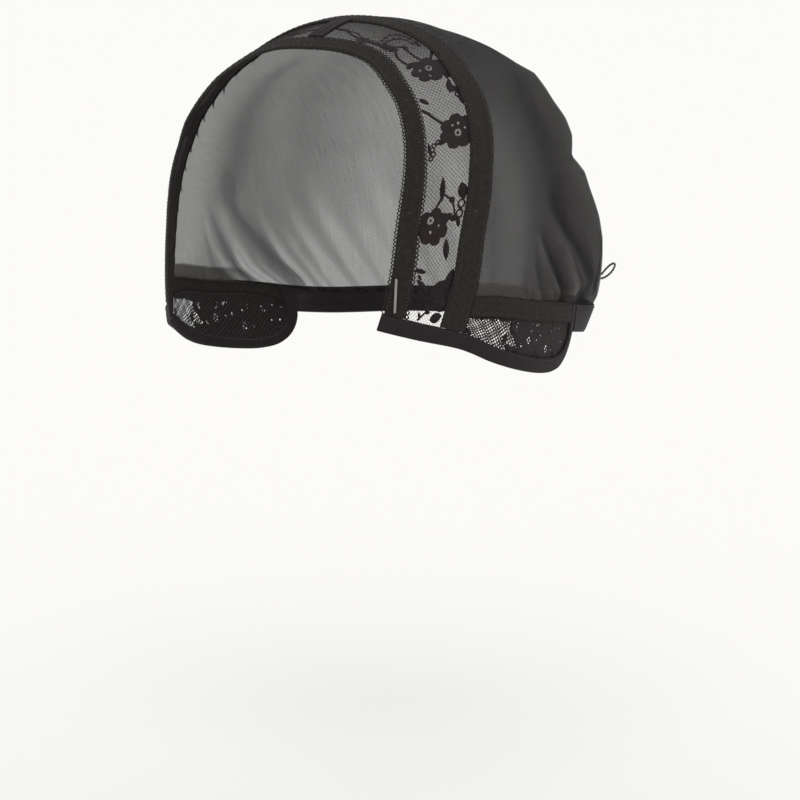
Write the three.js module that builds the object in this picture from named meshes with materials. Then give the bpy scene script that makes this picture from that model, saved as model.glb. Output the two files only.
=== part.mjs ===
// A worn stretch wig cap: a mesh crown behind a lace strip that is held between two elastic bands,
// with bound lace lobes over the ears, a nape strap, a thread loop and a slim steel pin bar.
// Millimetres, +Z up, the face opening toward -Y, the wearer's left at +X.
// The origin is the inside of the crown at its highest point.
import * as THREE from 'three';
import { mergeVertices } from 'three/addons/utils/BufferGeometryUtils.js';

// Bowl that the worn cap encloses, from its widest level
const BOWL_HALF_WIDTH = 76;
const BOWL_FRONT = 87.5;
const BOWL_REAR = 106;
const BOWL_RISE = 74.5;
const BOWL_DROP = 154;
const TEMPLE_PINCH = 0.08;

// Face opening, an arch seen from the front
const OPENING_HALF_WIDTH = 51.5;
const OPENING_HEIGHT = 96;
const BROW_DROP = 12.2;

// Widths of the strips that follow the opening
const FRONT_BAND_WIDTH = 10;
const LACE_WIDTH = 20;
const CROWN_BAND_WIDTH = 11;
const SEAM_TAPE_WIDTH = 8;

// Lower edge, waist line and nape
const CAP_DEPTH = 136.5;
const HEM_WIDTH = 6.5;
const SIDE_BAND_WIDTH = 7;
const STRAP_WIDTH = 11;

// Cloth
const CLOTH_THICKNESS = 1;
const BAND_THICKNESS = 1.6;
const CLEARANCE = 0.3;
const BAG_DEPTH = 6.5;
const GATHER_DEPTH = 1.6;
const RIGHT_TAB_LIFT = 3.5;
const STRAP_STANDOFF = 6;
const STRAP_FOOT_STANDOFF = 3.7;

// Bearings, in degrees from the front, over which each lift comes in or fades out
const RIGHT_LIFT_FULL = 75;
const RIGHT_LIFT_ENDS = 100;
const BAG_STARTS = 80;
const BAG_FULL = 130;
const NAPE_STARTS = 121;
const NAPE_FULL = 136;

// Share of the crown's depth where the waist begins to draw the bag in
const DRAWN_IN_FROM = 0.88;

// Thread loop and pin bar
const THREAD_DIAMETER = 0.8;
const LOOP_LENGTH = 5.5;
const LOOP_WIDTH = 2.6;
const LOOP_BEARING = 136;
const LOOP_DROP = 0.748;
const PIN_DIAMETER = 1.1;
const PIN_LENGTH = 13;
const PIN_FOOT_ACROSS = 0.42;
const PIN_HEAD_ACROSS = 0.24;
const PIN_ABOVE_HEM = 1;

const BLACK_ELASTIC = { color: 0x2f2d2b, roughness: 0.85, metalness: 0 };
const BLACK_MESH = { color: 0x3c3834, roughness: 0.9, metalness: 0 };
const BLACK_LACE = { color: 0x5f574f, roughness: 0.9, metalness: 0 };
const BLACK_BINDING = { color: 0x332d2b, roughness: 0.6, metalness: 0 };
const STRAP_ELASTIC = { color: 0x3a3434, roughness: 0.7, metalness: 0 };
const BLACK_THREAD = { color: 0x2a2827, roughness: 0.7, metalness: 0 };
const STEEL = { color: 0xa8a5a1, roughness: 0.3, metalness: 1 };

// Opening edge from the brow to the tab and on past the hem, where the hem cuts it: shares of the
// half width and of the height
const OPENING_EDGE = [
  { across: 0.0, down: 0.0 },
  { across: 0.32, down: 0.013 },
  { across: 0.52, down: 0.05 },
  { across: 0.715, down: 0.135 },
  { across: 0.84, down: 0.215 },
  { across: 0.945, down: 0.34 },
  { across: 0.985, down: 0.46 },
  { across: 0.975, down: 0.64 },
  { across: 0.94, down: 0.83 },
  { across: 0.88, down: 1.0 },
  { across: 0.84, down: 1.1 },
];

// Strip widths along the opening edge: shares of the named widths
const STRIP_SECTIONS = [
  { along: 0.0, front: 1.0, lace: 1.0, crown: 1.0 },
  { along: 0.35, front: 0.92, lace: 0.84, crown: 1.0 },
  { along: 0.5, front: 0.9, lace: 0.8, crown: 0.95 },
  { along: 0.65, front: 1.0, lace: 0.79, crown: 0.95 },
  { along: 0.8, front: 1.0, lace: 0.76, crown: 0.95 },
  { along: 1.0, front: 1.1, lace: 0.58, crown: 0.95 },
];

// Lower edge from the tab to the back of the lobe and up it: bearing from the front in degrees,
// share of the cap's depth
const HEM_EDGE = [
  { bearing: 33.8, drop: 0.827 },
  { bearing: 43, drop: 0.853 },
  { bearing: 58.5, drop: 0.89 },
  { bearing: 71, drop: 0.936 },
  { bearing: 84.5, drop: 0.971 },
  { bearing: 98, drop: 0.993 },
  { bearing: 109, drop: 1.0 },
  { bearing: 116.5, drop: 0.992 },
  { bearing: 121.5, drop: 0.965 },
  { bearing: 124, drop: 0.92 },
  { bearing: 123.5, drop: 0.86 },
  { bearing: 122, drop: 0.8 },
];

// Hem width along the lower edge, as shares of it
const HEM_SECTIONS = [
  { along: 0.0, width: 1.0 },
  { along: 0.35, width: 0.88 },
  { along: 0.7, width: 0.88 },
  { along: 1.0, width: 1.0 },
];

// Waist line, where the crown ends on the side bands and the strap
const WAIST_EDGE = [
  { bearing: 52, drop: 0.737 },
  { bearing: 72, drop: 0.754 },
  { bearing: 88, drop: 0.778 },
  { bearing: 105, drop: 0.796 },
  { bearing: 122, drop: 0.82 },
  { bearing: 136, drop: 0.832 },
  { bearing: 158, drop: 0.836 },
  { bearing: 180, drop: 0.836 },
];

// How far the crown's back stands off the bowl at each level: share of the cap's depth, share of
// the bag depth. A bump and a dent lie above the bag.
const BACK_PROFILE = [
  { drop: 0.0, lift: 0.0 },
  { drop: 0.03, lift: -0.16 },
  { drop: 0.09, lift: 0.0 },
  { drop: 0.145, lift: 0.1 },
  { drop: 0.18, lift: 0.34 },
  { drop: 0.25, lift: 0.13 },
  { drop: 0.3, lift: 0.18 },
  { drop: 0.345, lift: 0.05 },
  { drop: 0.4, lift: -0.45 },
  { drop: 0.455, lift: 0.12 },
  { drop: 0.52, lift: 0.38 },
  { drop: 0.58, lift: 0.72 },
  { drop: 0.645, lift: 0.97 },
  { drop: 0.78, lift: 1.02 },
  { drop: 1.0, lift: 1.0 },
];

// How far the strips of the right half stand off the temple, by the same shares of depth
const RIGHT_PROFILE = [
  { drop: 0.0, lift: 0.0 },
  { drop: 0.12, lift: 0.05 },
  { drop: 0.18, lift: 0.35 },
  { drop: 0.3, lift: 0.4 },
  { drop: 0.36, lift: 0.1 },
  { drop: 0.5, lift: 0.05 },
  { drop: 0.57, lift: 0.2 },
  { drop: 0.74, lift: 0.75 },
  { drop: 0.84, lift: 1.0 },
  { drop: 1.0, lift: 1.0 },
];

// Gathers that fan up from the waist: bearing and half width in degrees, share of the gather
// depth, and how far up the crown each one fades out
const GATHERS = [
  { bearing: 84, half: 3.0, depth: 0.35, rise: 0.2 },
  { bearing: 95, half: 3.0, depth: 0.6, rise: 0.3 },
  { bearing: 105, half: 2.6, depth: 0.9, rise: 0.4 },
  { bearing: 113, half: 2.4, depth: 1.0, rise: 0.5 },
  { bearing: 121, half: 2.4, depth: 0.9, rise: 0.45 },
  { bearing: 129, half: 2.6, depth: 1.0, rise: 0.5 },
  { bearing: 139, half: 3.0, depth: 0.9, rise: 0.45 },
  { bearing: 150, half: 3.0, depth: 1.0, rise: 0.5 },
  { bearing: 160, half: 3.0, depth: 0.85, rise: 0.4 },
  { bearing: 170, half: 3.0, depth: 1.0, rise: 0.5 },
  { bearing: 180, half: 3.0, depth: 0.9, rise: 0.45 },
];

// The thread loop's run from its lower foot to its upper one: shares of its length and width
const LOOP_RUN = [
  { away: 0.0, rise: -0.5 },
  { away: 0.35, rise: -0.42 },
  { away: 0.62, rise: -0.3 },
  { away: 0.74, rise: 0.05 },
  { away: 0.62, rise: 0.4 },
  { away: 0.35, rise: 0.48 },
  { away: 0.0, rise: 0.5 },
];

// Mesh fineness
const STRIP_STEPS = 30;
const LACE_ROWS = 3;
const TAPE_STEPS = 4;
const SIDE_BAND_STEPS = 12;
const NAPE_LACE_STEPS = 16;
const NAPE_LACE_ROWS = 4;
const HEM_STEPS = 36;
const STRAP_STEPS = 36;
const PATH_STEPS = 60;
const WALK_STEP = 1.5;
const CROWN_STATIONS = 72;
const CROWN_ROWS = 23;
const LOOP_STEPS = 20;
const LOOP_SIDES = 8;
const PIN_SIDES = 10;
const HALVINGS = 40;
const MERGE_WITHIN = 1e-3;

const CENTRE = new THREE.Vector3(0, 0, -BOWL_RISE);

// Bowl

function semiAxes(direction) {
  const toFront = Math.max(-direction.y, 0);
  return {
    x: BOWL_HALF_WIDTH * (1 - TEMPLE_PINCH * toFront * toFront),
    y: direction.y < 0 ? BOWL_FRONT : BOWL_REAR,
    z: direction.z > 0 ? BOWL_RISE : BOWL_DROP,
  };
}

// The bowl's point in the direction of any point, seen from the centre of its widest level
function seat(point) {
  const direction = point.clone().sub(CENTRE).normalize();
  const axes = semiAxes(direction);
  const reach = 1 / Math.hypot(direction.x / axes.x, direction.y / axes.y, direction.z / axes.z);
  return direction.multiplyScalar(reach).add(CENTRE);
}

function normalAt(point) {
  const offset = point.clone().sub(CENTRE);
  const axes = semiAxes(offset.clone().normalize());
  return new THREE.Vector3(
    offset.x / axes.x ** 2,
    offset.y / axes.y ** 2,
    offset.z / axes.z ** 2,
  ).normalize();
}

function raised(point, lift) {
  return point.clone().addScaledVector(normalAt(point), lift);
}

// A point of the bowl's front at a given width and level
function frontPoint(x, z) {
  let near = 0;
  let far = -BOWL_FRONT;
  for (let step = 0; step < HALVINGS; step += 1) {
    const y = (near + far) / 2;
    const trial = new THREE.Vector3(x, y, z);
    const inside = trial.distanceTo(CENTRE) < seat(trial).distanceTo(CENTRE);
    if (inside) near = y;
    else far = y;
  }
  return seat(new THREE.Vector3(x, near, z));
}

// A point of the bowl at a bearing from the front and a level
function sidePoint(bearing, z) {
  const angle = THREE.MathUtils.degToRad(bearing);
  let near = 0;
  let far = BOWL_REAR;
  for (let step = 0; step < HALVINGS; step += 1) {
    const radius = (near + far) / 2;
    const trial = new THREE.Vector3(radius * Math.sin(angle), -radius * Math.cos(angle), z);
    const inside = trial.distanceTo(CENTRE) < seat(trial).distanceTo(CENTRE);
    if (inside) near = radius;
    else far = radius;
  }
  return seat(new THREE.Vector3(near * Math.sin(angle), -near * Math.cos(angle), z));
}

function bearingOf(point) {
  return THREE.MathUtils.radToDeg(Math.atan2(point.x, -point.y));
}

// Paths: lists of points on the bowl

function smoothPath(controls, steps) {
  const curve = new THREE.CatmullRomCurve3(controls, false, 'centripetal');
  return curve.getSpacedPoints(steps).map(seat);
}

// The point of a path at a distance from its start
function pointAlong(path, distance) {
  let left = distance;
  for (let i = 1; i < path.length; i += 1) {
    const span = path[i].distanceTo(path[i - 1]);
    if (left <= span) return seat(path[i - 1].clone().lerp(path[i], left / span));
    left -= span;
  }
  return path[path.length - 1].clone();
}

function resample(path, steps) {
  const lengths = [0];
  for (let i = 1; i < path.length; i += 1) {
    lengths.push(lengths[i - 1] + path[i].distanceTo(path[i - 1]));
  }
  const total = lengths[lengths.length - 1];
  const result = [];
  let segment = 1;
  for (let k = 0; k <= steps; k += 1) {
    const target = (total * k) / steps;
    while (segment < path.length - 1 && lengths[segment] < target) segment += 1;
    const span = lengths[segment] - lengths[segment - 1];
    const share = (target - lengths[segment - 1]) / span;
    result.push(seat(path[segment - 1].clone().lerp(path[segment], share)));
  }
  return result;
}

function mirrored(path) {
  return path.map((point) => new THREE.Vector3(-point.x, point.y, point.z));
}

// The mirrored half from its far end to the middle, then the half itself
function wholePath(half) {
  return [...mirrored(half).reverse(), ...half.slice(1)];
}

// A half that ends at the back, mirrored round it to the other side
function roundBack(half) {
  return [...half, ...mirrored(half).reverse().slice(1)];
}

// A value of a table's column at a share read in another one
function valueAt(table, by, share, column) {
  let row = 1;
  while (row < table.length - 1 && table[row][by] < share) row += 1;
  const before = table[row - 1];
  const after = table[row];
  const part = (share - before[by]) / (after[by] - before[by]);
  return THREE.MathUtils.lerp(before[column], after[column], part);
}

function walk(start, heading, distance) {
  const steps = Math.max(1, Math.ceil(Math.abs(distance) / WALK_STEP));
  let point = start.clone();
  let direction = heading.clone().normalize().multiplyScalar(distance / steps);
  for (let step = 0; step < steps; step += 1) {
    const next = seat(point.clone().add(direction));
    direction = next.clone().sub(point).setLength(Math.abs(distance) / steps);
    point = next;
  }
  return point;
}

// A path moved sideways along the bowl, to the left of its run seen from outside
function offsetPath(path, distanceAt) {
  return path.map((point, i) => {
    const before = path[Math.max(i - 1, 0)];
    const after = path[Math.min(i + 1, path.length - 1)];
    const run = after.clone().sub(before).normalize();
    const heading = normalAt(point).cross(run);
    const distance = distanceAt(i / (path.length - 1));
    return distance === 0 ? point.clone() : walk(point, heading, distance);
  });
}

// Where two paths cross, read by bearing and level: index and share on the first one
function crossing(path, barrier) {
  const flat = (point) => [bearingOf(point.x < 0 ? mirrored([point])[0] : point), point.z];
  for (let i = 1; i < path.length; i += 1) {
    const [ax, ay] = flat(path[i - 1]);
    const [bx, by] = flat(path[i]);
    for (let j = 1; j < barrier.length; j += 1) {
      const [cx, cy] = flat(barrier[j - 1]);
      const [dx, dy] = flat(barrier[j]);
      const turn = (bx - ax) * (dy - cy) - (by - ay) * (dx - cx);
      if (turn === 0) continue;
      const share = ((cx - ax) * (dy - cy) - (cy - ay) * (dx - cx)) / turn;
      const other = ((cx - ax) * (by - ay) - (cy - ay) * (bx - ax)) / turn;
      if (share >= 0 && share <= 1 && other >= 0 && other <= 1) return { index: i, share };
    }
  }
  return null;
}

function cutBefore(path, barrier) {
  const cut = crossing(path, barrier);
  if (cut === null) return path;
  const end = seat(path[cut.index - 1].clone().lerp(path[cut.index], cut.share));
  return [...path.slice(0, cut.index), end];
}

function cutAfter(path, barrier) {
  const cut = crossing(path, barrier);
  if (cut === null) return path;
  const start = seat(path[cut.index - 1].clone().lerp(path[cut.index], cut.share));
  return [start, ...path.slice(cut.index)];
}

// The point at a share of the great arc between two points of the bowl
function between(a, b, share) {
  const from = a.clone().sub(CENTRE).normalize();
  const to = b.clone().sub(CENTRE).normalize();
  const angle = from.angleTo(to);
  if (angle < 1e-6) return a.clone();
  const arc = from.multiplyScalar(Math.sin((1 - share) * angle))
    .addScaledVector(to, Math.sin(share * angle));
  return seat(arc.add(CENTRE));
}

function ruledRows(first, last, rows) {
  const result = [];
  for (let row = 0; row <= rows; row += 1) {
    result.push(first.map((point, i) => between(point, last[i], row / rows)));
  }
  return result;
}

// Walls

// A closed wall between a grid of inner points and the same grid of outer points
function closedWall(inner, outer) {
  const rows = inner.length;
  const columns = inner[0].length;
  const positions = [...inner.flat(), ...outer.flat()].flatMap((point) => point.toArray());
  const at = (side, row, column) => (side * rows + row) * columns + column;
  const faces = [];
  const quad = (a, b, c, d) => faces.push([a, b, c], [a, c, d]);
  for (let r = 0; r < rows - 1; r += 1) {
    for (let c = 0; c < columns - 1; c += 1) {
      quad(at(1, r, c), at(1, r + 1, c), at(1, r + 1, c + 1), at(1, r, c + 1));
      quad(at(0, r, c), at(0, r, c + 1), at(0, r + 1, c + 1), at(0, r + 1, c));
    }
    quad(at(0, r, 0), at(0, r + 1, 0), at(1, r + 1, 0), at(1, r, 0));
    quad(at(0, r + 1, columns - 1), at(0, r, columns - 1), at(1, r, columns - 1),
      at(1, r + 1, columns - 1));
  }
  for (let c = 0; c < columns - 1; c += 1) {
    quad(at(0, 0, c + 1), at(0, 0, c), at(1, 0, c), at(1, 0, c + 1));
    quad(at(0, rows - 1, c), at(0, rows - 1, c + 1), at(1, rows - 1, c + 1), at(1, rows - 1, c));
  }
  return closedGeometry(positions, faces);
}

// Joins shared corners, drops faces that shrank to a line and turns all faces outward
function closedGeometry(positions, faces) {
  let geometry = new THREE.BufferGeometry();
  geometry.setAttribute('position', new THREE.Float32BufferAttribute(positions, 3));
  geometry.setIndex(faces.flat());
  geometry = mergeVertices(geometry, MERGE_WITHIN);
  const corners = geometry.getAttribute('position');
  const index = geometry.getIndex().array;
  const kept = [];
  let volume = 0;
  for (let i = 0; i < index.length; i += 3) {
    const [a, b, c] = [index[i], index[i + 1], index[i + 2]];
    if (a === b || b === c || c === a) continue;
    kept.push(a, b, c);
    const [pa, pb, pc] = [a, b, c].map((k) => new THREE.Vector3().fromBufferAttribute(corners, k));
    volume += pa.dot(pb.cross(pc));
  }
  if (volume < 0) {
    for (let i = 0; i < kept.length; i += 3) [kept[i], kept[i + 1]] = [kept[i + 1], kept[i]];
  }
  geometry.setIndex(kept);
  geometry.computeVertexNormals();
  return geometry;
}

// A closed three.js shape with its corners joined
function cleaned(geometry) {
  const positions = Array.from(geometry.getAttribute('position').array);
  const count = positions.length / 3;
  const index = geometry.getIndex() ? [...geometry.getIndex().array] : [...Array(count).keys()];
  const faces = [];
  for (let i = 0; i < index.length; i += 3) faces.push(index.slice(i, i + 3));
  return closedGeometry(positions, faces);
}

function sheet(rows, thickness, liftAt = () => 0) {
  const inner = rows.map((row, r) => row.map((point, c) => raised(point, liftAt(r, c))));
  const outer = rows.map((row, r) => row.map((point, c) => raised(point, liftAt(r, c) + thickness)));
  return closedWall(inner, outer);
}

// Edges that the pieces share, on the wearer's left half

const openingPoints = OPENING_EDGE.map((row) => frontPoint(
  row.across * OPENING_HALF_WIDTH,
  -BROW_DROP - row.down * OPENING_HEIGHT,
));
const openingEdge = smoothPath(wholePath(openingPoints), 2 * PATH_STEPS).slice(PATH_STEPS);

const hemEdge = smoothPath(
  HEM_EDGE.map((row) => sidePoint(row.bearing, -row.drop * CAP_DEPTH)),
  PATH_STEPS,
);

const waistPoints = WAIST_EDGE.map((row) => sidePoint(row.bearing, -row.drop * CAP_DEPTH));
const waistEdge = smoothPath(roundBack(waistPoints), 2 * PATH_STEPS).slice(0, PATH_STEPS + 1);

const frontWidth = (along) => FRONT_BAND_WIDTH * valueAt(STRIP_SECTIONS, 'along', along, 'front');
const laceWidth = (along) => LACE_WIDTH * valueAt(STRIP_SECTIONS, 'along', along, 'lace');
const crownWidth = (along) => CROWN_BAND_WIDTH * valueAt(STRIP_SECTIONS, 'along', along, 'crown');
const hemWidth = (along) => HEM_WIDTH * valueAt(HEM_SECTIONS, 'along', along, 'width');

// A path that follows the opening at a distance, offset as a whole arch so that it meets the
// middle squarely
function besideOpening(distanceAt) {
  const arch = wholePath(openingEdge);
  const moved = offsetPath(arch, (share) => distanceAt(Math.abs(2 * share - 1)));
  return moved.slice(PATH_STEPS);
}

const toLace = frontWidth;
const toCrownBand = (along) => toLace(along) + CLEARANCE + laceWidth(along);
const toCrown = (along) => toCrownBand(along) + CLEARANCE + crownWidth(along);
const cleared = (distanceAt) => (along) => distanceAt(along) + CLEARANCE;

const laceFront = besideOpening(cleared(toLace));
const laceBack = besideOpening(toCrownBand);
const crownFront = besideOpening(cleared(toCrown));

const hemTop = offsetPath(hemEdge, hemWidth);
const aboveHem = offsetPath(hemEdge, cleared(hemWidth));
const behindHem = offsetPath(hemEdge, () => -CLEARANCE);
const belowWaist = (distance) => offsetPath(waistEdge, () => -distance);
const sideBandFoot = CLEARANCE + SIDE_BAND_WIDTH;

// The hem's line carried round to the front, so that every strip meets it
const hemBarrier = [sidePoint(0, aboveHem[0].z), ...aboveHem];
const toHem = (path) => cutBefore(path, hemBarrier);

// Pieces

const cap = new THREE.Group();

function piece(name, geometry, finish) {
  const mesh = new THREE.Mesh(geometry, new THREE.MeshStandardMaterial(finish));
  mesh.name = name;
  cap.add(mesh);
  return mesh;
}

const { smoothstep } = THREE.MathUtils;
const dropOf = (point) => -point.z / CAP_DEPTH;

// The right half stands off the wearer's temple, less and less toward the ear
function rightLift(point) {
  if (point.x > 0) return 0;
  const bearing = Math.abs(bearingOf(point));
  const toFront = 1 - smoothstep(bearing, RIGHT_LIFT_FULL, RIGHT_LIFT_ENDS);
  return RIGHT_TAB_LIFT * valueAt(RIGHT_PROFILE, 'drop', dropOf(point), 'lift') * toFront;
}

function strip(front, back, steps, across, thickness, lift = 0) {
  const rows = ruledRows(resample(front, steps), resample(back, steps), across);
  return sheet(rows, thickness, (r, c) => lift + rightLift(rows[r][c]));
}

function frontBand() {
  const front = wholePath(toHem(openingEdge));
  const back = wholePath(toHem(besideOpening(toLace)));
  return strip(front, back, 2 * STRIP_STEPS, 1, BAND_THICKNESS);
}

function crownBand() {
  const front = wholePath(toHem(besideOpening(cleared(toCrownBand))));
  const back = wholePath(toHem(besideOpening(toCrown)));
  return strip(front, back, 2 * STRIP_STEPS, 1, BAND_THICKNESS);
}

// A half of a path that starts a little beside the middle
function besideMiddle(path, distance) {
  const next = path.findIndex((point) => point.x > distance);
  const share = (distance - path[next - 1].x) / (path[next].x - path[next - 1].x);
  return [seat(path[next - 1].clone().lerp(path[next], share)), ...path.slice(next)];
}

function laceStrip(side) {
  const paths = [laceFront, laceBack].map((path) => besideMiddle(toHem(path), CLEARANCE / 2));
  const [front, back] = side > 0 ? paths : paths.map(mirrored);
  return strip(front, back, STRIP_STEPS, LACE_ROWS, CLOTH_THICKNESS);
}

// The tape over the joint of the two lace strips, between the two bands
function centreSeam() {
  const [front, back] = [laceFront, laceBack].map((path) => {
    const end = besideMiddle(path, SEAM_TAPE_WIDTH / 2)[0];
    return [mirrored([end])[0], path[0], end];
  });
  const lift = CLOTH_THICKNESS + CLEARANCE;
  return strip(front, back, TAPE_STEPS, TAPE_STEPS, CLOTH_THICKNESS, lift);
}

// The crown runs from the rear edge of its band to the waist line

const crownCorner = cutBefore(crownFront, waistEdge);
const waistHalf = cutAfter(waistEdge, crownFront);
const crownRows = ruledRows(
  resample(wholePath(crownCorner), CROWN_STATIONS),
  resample(mirrored(roundBack(waistHalf)), CROWN_STATIONS),
  CROWN_ROWS,
);

// The nape strap, and the crown's edge above it, stand off the hollow of the nape
function napeShare(point) {
  return smoothstep(Math.abs(bearingOf(point)), NAPE_STARTS, NAPE_FULL);
}

// The cloth bags out at the back, and the side bands draw it in again at the waist
function bagLift(point, down) {
  const toBack = smoothstep(Math.abs(bearingOf(point)), BAG_STARTS, BAG_FULL);
  const lift = BAG_DEPTH * toBack * valueAt(BACK_PROFILE, 'drop', dropOf(point), 'lift');
  const atWaist = STRAP_STANDOFF * napeShare(point);
  return THREE.MathUtils.lerp(lift, atWaist, smoothstep(down, DRAWN_IN_FROM, 1));
}

function gatherLift(down, bearing) {
  return GATHERS.reduce((lift, fold) => {
    const away = (bearing - fold.bearing) / fold.half;
    const fade = smoothstep(down, 1 - fold.rise, 1);
    return lift + GATHER_DEPTH * fold.depth * fade * Math.exp(-away * away);
  }, 0);
}

function crownLift(row, column) {
  const down = row / CROWN_ROWS;
  const foot = crownRows[CROWN_ROWS][column];
  const gathered = gatherLift(down, Math.abs(bearingOf(foot)));
  const point = crownRows[row][column];
  return bagLift(point, down) + gathered + rightLift(point);
}

function crown() {
  return sheet(crownRows, CLOTH_THICKNESS, crownLift);
}

// Side bands, lobes, hems and strap

function sideBand() {
  const [top, foot] = [CLEARANCE, sideBandFoot].map((distance) => {
    const line = belowWaist(distance);
    return cutBefore(cutAfter(line, crownFront), aboveHem);
  });
  return {
    front: top,
    back: foot,
    steps: SIDE_BAND_STEPS,
    across: 1,
    thickness: BAND_THICKNESS,
  };
}

function napeLace() {
  const topLine = belowWaist(sideBandFoot + CLEARANCE);
  const top = cutBefore(cutAfter(topLine, crownFront), aboveHem);
  const foot = cutBefore(cutAfter(aboveHem, crownFront), topLine);
  return {
    front: top,
    back: foot,
    steps: NAPE_LACE_STEPS,
    across: NAPE_LACE_ROWS,
    thickness: CLOTH_THICKNESS,
  };
}

function hem() {
  const end = belowWaist(CLEARANCE);
  const [top, foot] = [hemTop, hemEdge].map((path) => cutBefore(path, end));
  return {
    front: top,
    back: foot,
    steps: HEM_STEPS,
    across: 1,
    thickness: BAND_THICKNESS,
  };
}

function bothSides(name, shape, finish) {
  const { front, back, steps, across, thickness } = shape;
  piece(`${name}_left`, strip(front, back, steps, across, thickness), finish);
  piece(`${name}_right`, strip(mirrored(front), mirrored(back), steps, across, thickness), finish);
}

function napeStrap() {
  const edges = [CLEARANCE, CLEARANCE + STRAP_WIDTH].map((distance) => {
    const half = cutAfter(belowWaist(distance), behindHem);
    return resample(roundBack(half), STRAP_STEPS);
  });
  const standoffs = [STRAP_STANDOFF, STRAP_FOOT_STANDOFF];
  const liftAt = (row, column) => standoffs[row] * napeShare(edges[row][column]);
  return sheet(edges, BAND_THICKNESS, liftAt);
}

// The loop stands off the bagged cloth at the back of the wearer's left side, tilted up
function threadLoop(cloth) {
  const wanted = sidePoint(LOOP_BEARING, -LOOP_DROP * CAP_DEPTH);
  const inward = normalAt(wanted).negate();
  const ray = new THREE.Raycaster(raised(wanted, 3 * BAG_DEPTH), inward);
  const hit = ray.intersectObject(cloth)[0];
  const out = hit.face.normal;
  const up = new THREE.Vector3(0, 0, 1).addScaledVector(out, -out.z).normalize();
  const foot = hit.point.addScaledVector(out, CLEARANCE + THREAD_DIAMETER / 2);
  const curve = new THREE.CatmullRomCurve3(LOOP_RUN.map(({ away, rise }) => foot.clone()
    .addScaledVector(out, away * LOOP_LENGTH)
    .addScaledVector(up, away * LOOP_LENGTH + rise * LOOP_WIDTH)));
  const section = new THREE.Shape();
  section.absarc(0, 0, THREAD_DIAMETER / 2, 0, 2 * Math.PI, false);
  const tube = new THREE.ExtrudeGeometry(section, {
    steps: LOOP_STEPS,
    curveSegments: LOOP_SIDES,
    extrudePath: curve,
  });
  return cleaned(tube);
}

// A slim bar on the left tab's front band, just above the hem
function tabPin() {
  const [foot, head] = [PIN_FOOT_ACROSS, PIN_HEAD_ACROSS].map((across) => {
    return toHem(besideOpening((along) => toLace(along) * across)).reverse();
  });
  const low = pointAlong(foot, PIN_ABOVE_HEM);
  const high = pointAlong(head, PIN_ABOVE_HEM + PIN_LENGTH);
  const run = high.clone().sub(low).normalize();
  const shank = PIN_LENGTH - PIN_DIAMETER;
  const bar = new THREE.CapsuleGeometry(PIN_DIAMETER / 2, shank, 3, PIN_SIDES);
  bar.applyQuaternion(new THREE.Quaternion().setFromUnitVectors(new THREE.Vector3(0, 1, 0), run));
  const standoff = BAND_THICKNESS + CLEARANCE + PIN_DIAMETER / 2;
  const middle = raised(seat(low.lerp(high, 0.5)), standoff);
  bar.translate(middle.x, middle.y, middle.z);
  return cleaned(bar);
}

const crownPiece = piece('crown', crown(), BLACK_MESH);
piece('front_band', frontBand(), BLACK_ELASTIC);
piece('lace_strip_left', laceStrip(1), BLACK_LACE);
piece('lace_strip_right', laceStrip(-1), BLACK_LACE);
piece('centre_seam', centreSeam(), BLACK_BINDING);
piece('crown_band', crownBand(), BLACK_ELASTIC);
bothSides('side_band', sideBand(), BLACK_ELASTIC);
bothSides('nape_lace', napeLace(), BLACK_LACE);
bothSides('hem', hem(), BLACK_BINDING);
piece('nape_strap', napeStrap(), STRAP_ELASTIC);
piece('thread_loop', threadLoop(crownPiece), BLACK_THREAD);
piece('tab_pin', tabPin(), STEEL);

export default cap;
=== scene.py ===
import math
import random

import bmesh
import bpy
import numpy as np
from mathutils import Matrix, Vector


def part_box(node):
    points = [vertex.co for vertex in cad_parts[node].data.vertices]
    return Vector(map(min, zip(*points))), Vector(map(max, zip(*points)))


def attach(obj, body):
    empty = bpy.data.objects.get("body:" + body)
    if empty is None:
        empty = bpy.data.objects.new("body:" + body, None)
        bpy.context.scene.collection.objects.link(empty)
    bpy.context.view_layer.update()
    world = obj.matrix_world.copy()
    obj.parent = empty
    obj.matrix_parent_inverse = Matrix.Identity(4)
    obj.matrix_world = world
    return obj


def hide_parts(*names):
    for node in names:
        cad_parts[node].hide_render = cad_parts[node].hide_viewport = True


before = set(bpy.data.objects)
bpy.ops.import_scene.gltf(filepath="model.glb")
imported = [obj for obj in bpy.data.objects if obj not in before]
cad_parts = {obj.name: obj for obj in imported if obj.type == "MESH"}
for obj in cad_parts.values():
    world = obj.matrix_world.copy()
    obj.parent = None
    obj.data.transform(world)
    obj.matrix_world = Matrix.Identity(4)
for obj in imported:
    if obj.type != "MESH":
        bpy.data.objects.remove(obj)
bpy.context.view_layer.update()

MM = 0.001

# The bowl that the worn cap encloses and the cap's own sizes, in millimetres, as in the solids
BOWL_HALF_WIDTH = 76
BOWL_FRONT = 87.5
BOWL_REAR = 106
BOWL_RISE = 74.5
BOWL_DROP = 154
TEMPLE_PINCH = 0.08
OPENING_HALF_WIDTH = 51.5
OPENING_HEIGHT = 96
BROW_DROP = 12.2
FRONT_BAND_WIDTH = 10
LACE_WIDTH = 20
CROWN_BAND_WIDTH = 11
SEAM_TAPE_WIDTH = 8
CAP_DEPTH = 136.5
HEM_WIDTH = 6.5
SIDE_BAND_WIDTH = 7
STRAP_WIDTH = 11
CLEARANCE = 0.3
BAG_DEPTH = 6.5
GATHER_DEPTH = 1.6
RIGHT_TAB_LIFT = 3.5
STRAP_STANDOFF = 6
STRAP_FOOT_STANDOFF = 3.7
LOOP_LENGTH = 5.5
LOOP_WIDTH = 2.6
LOOP_BEARING = 136
LOOP_DROP = 0.748
PIN_DIAMETER = 1.1
PIN_LENGTH = 13
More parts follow.
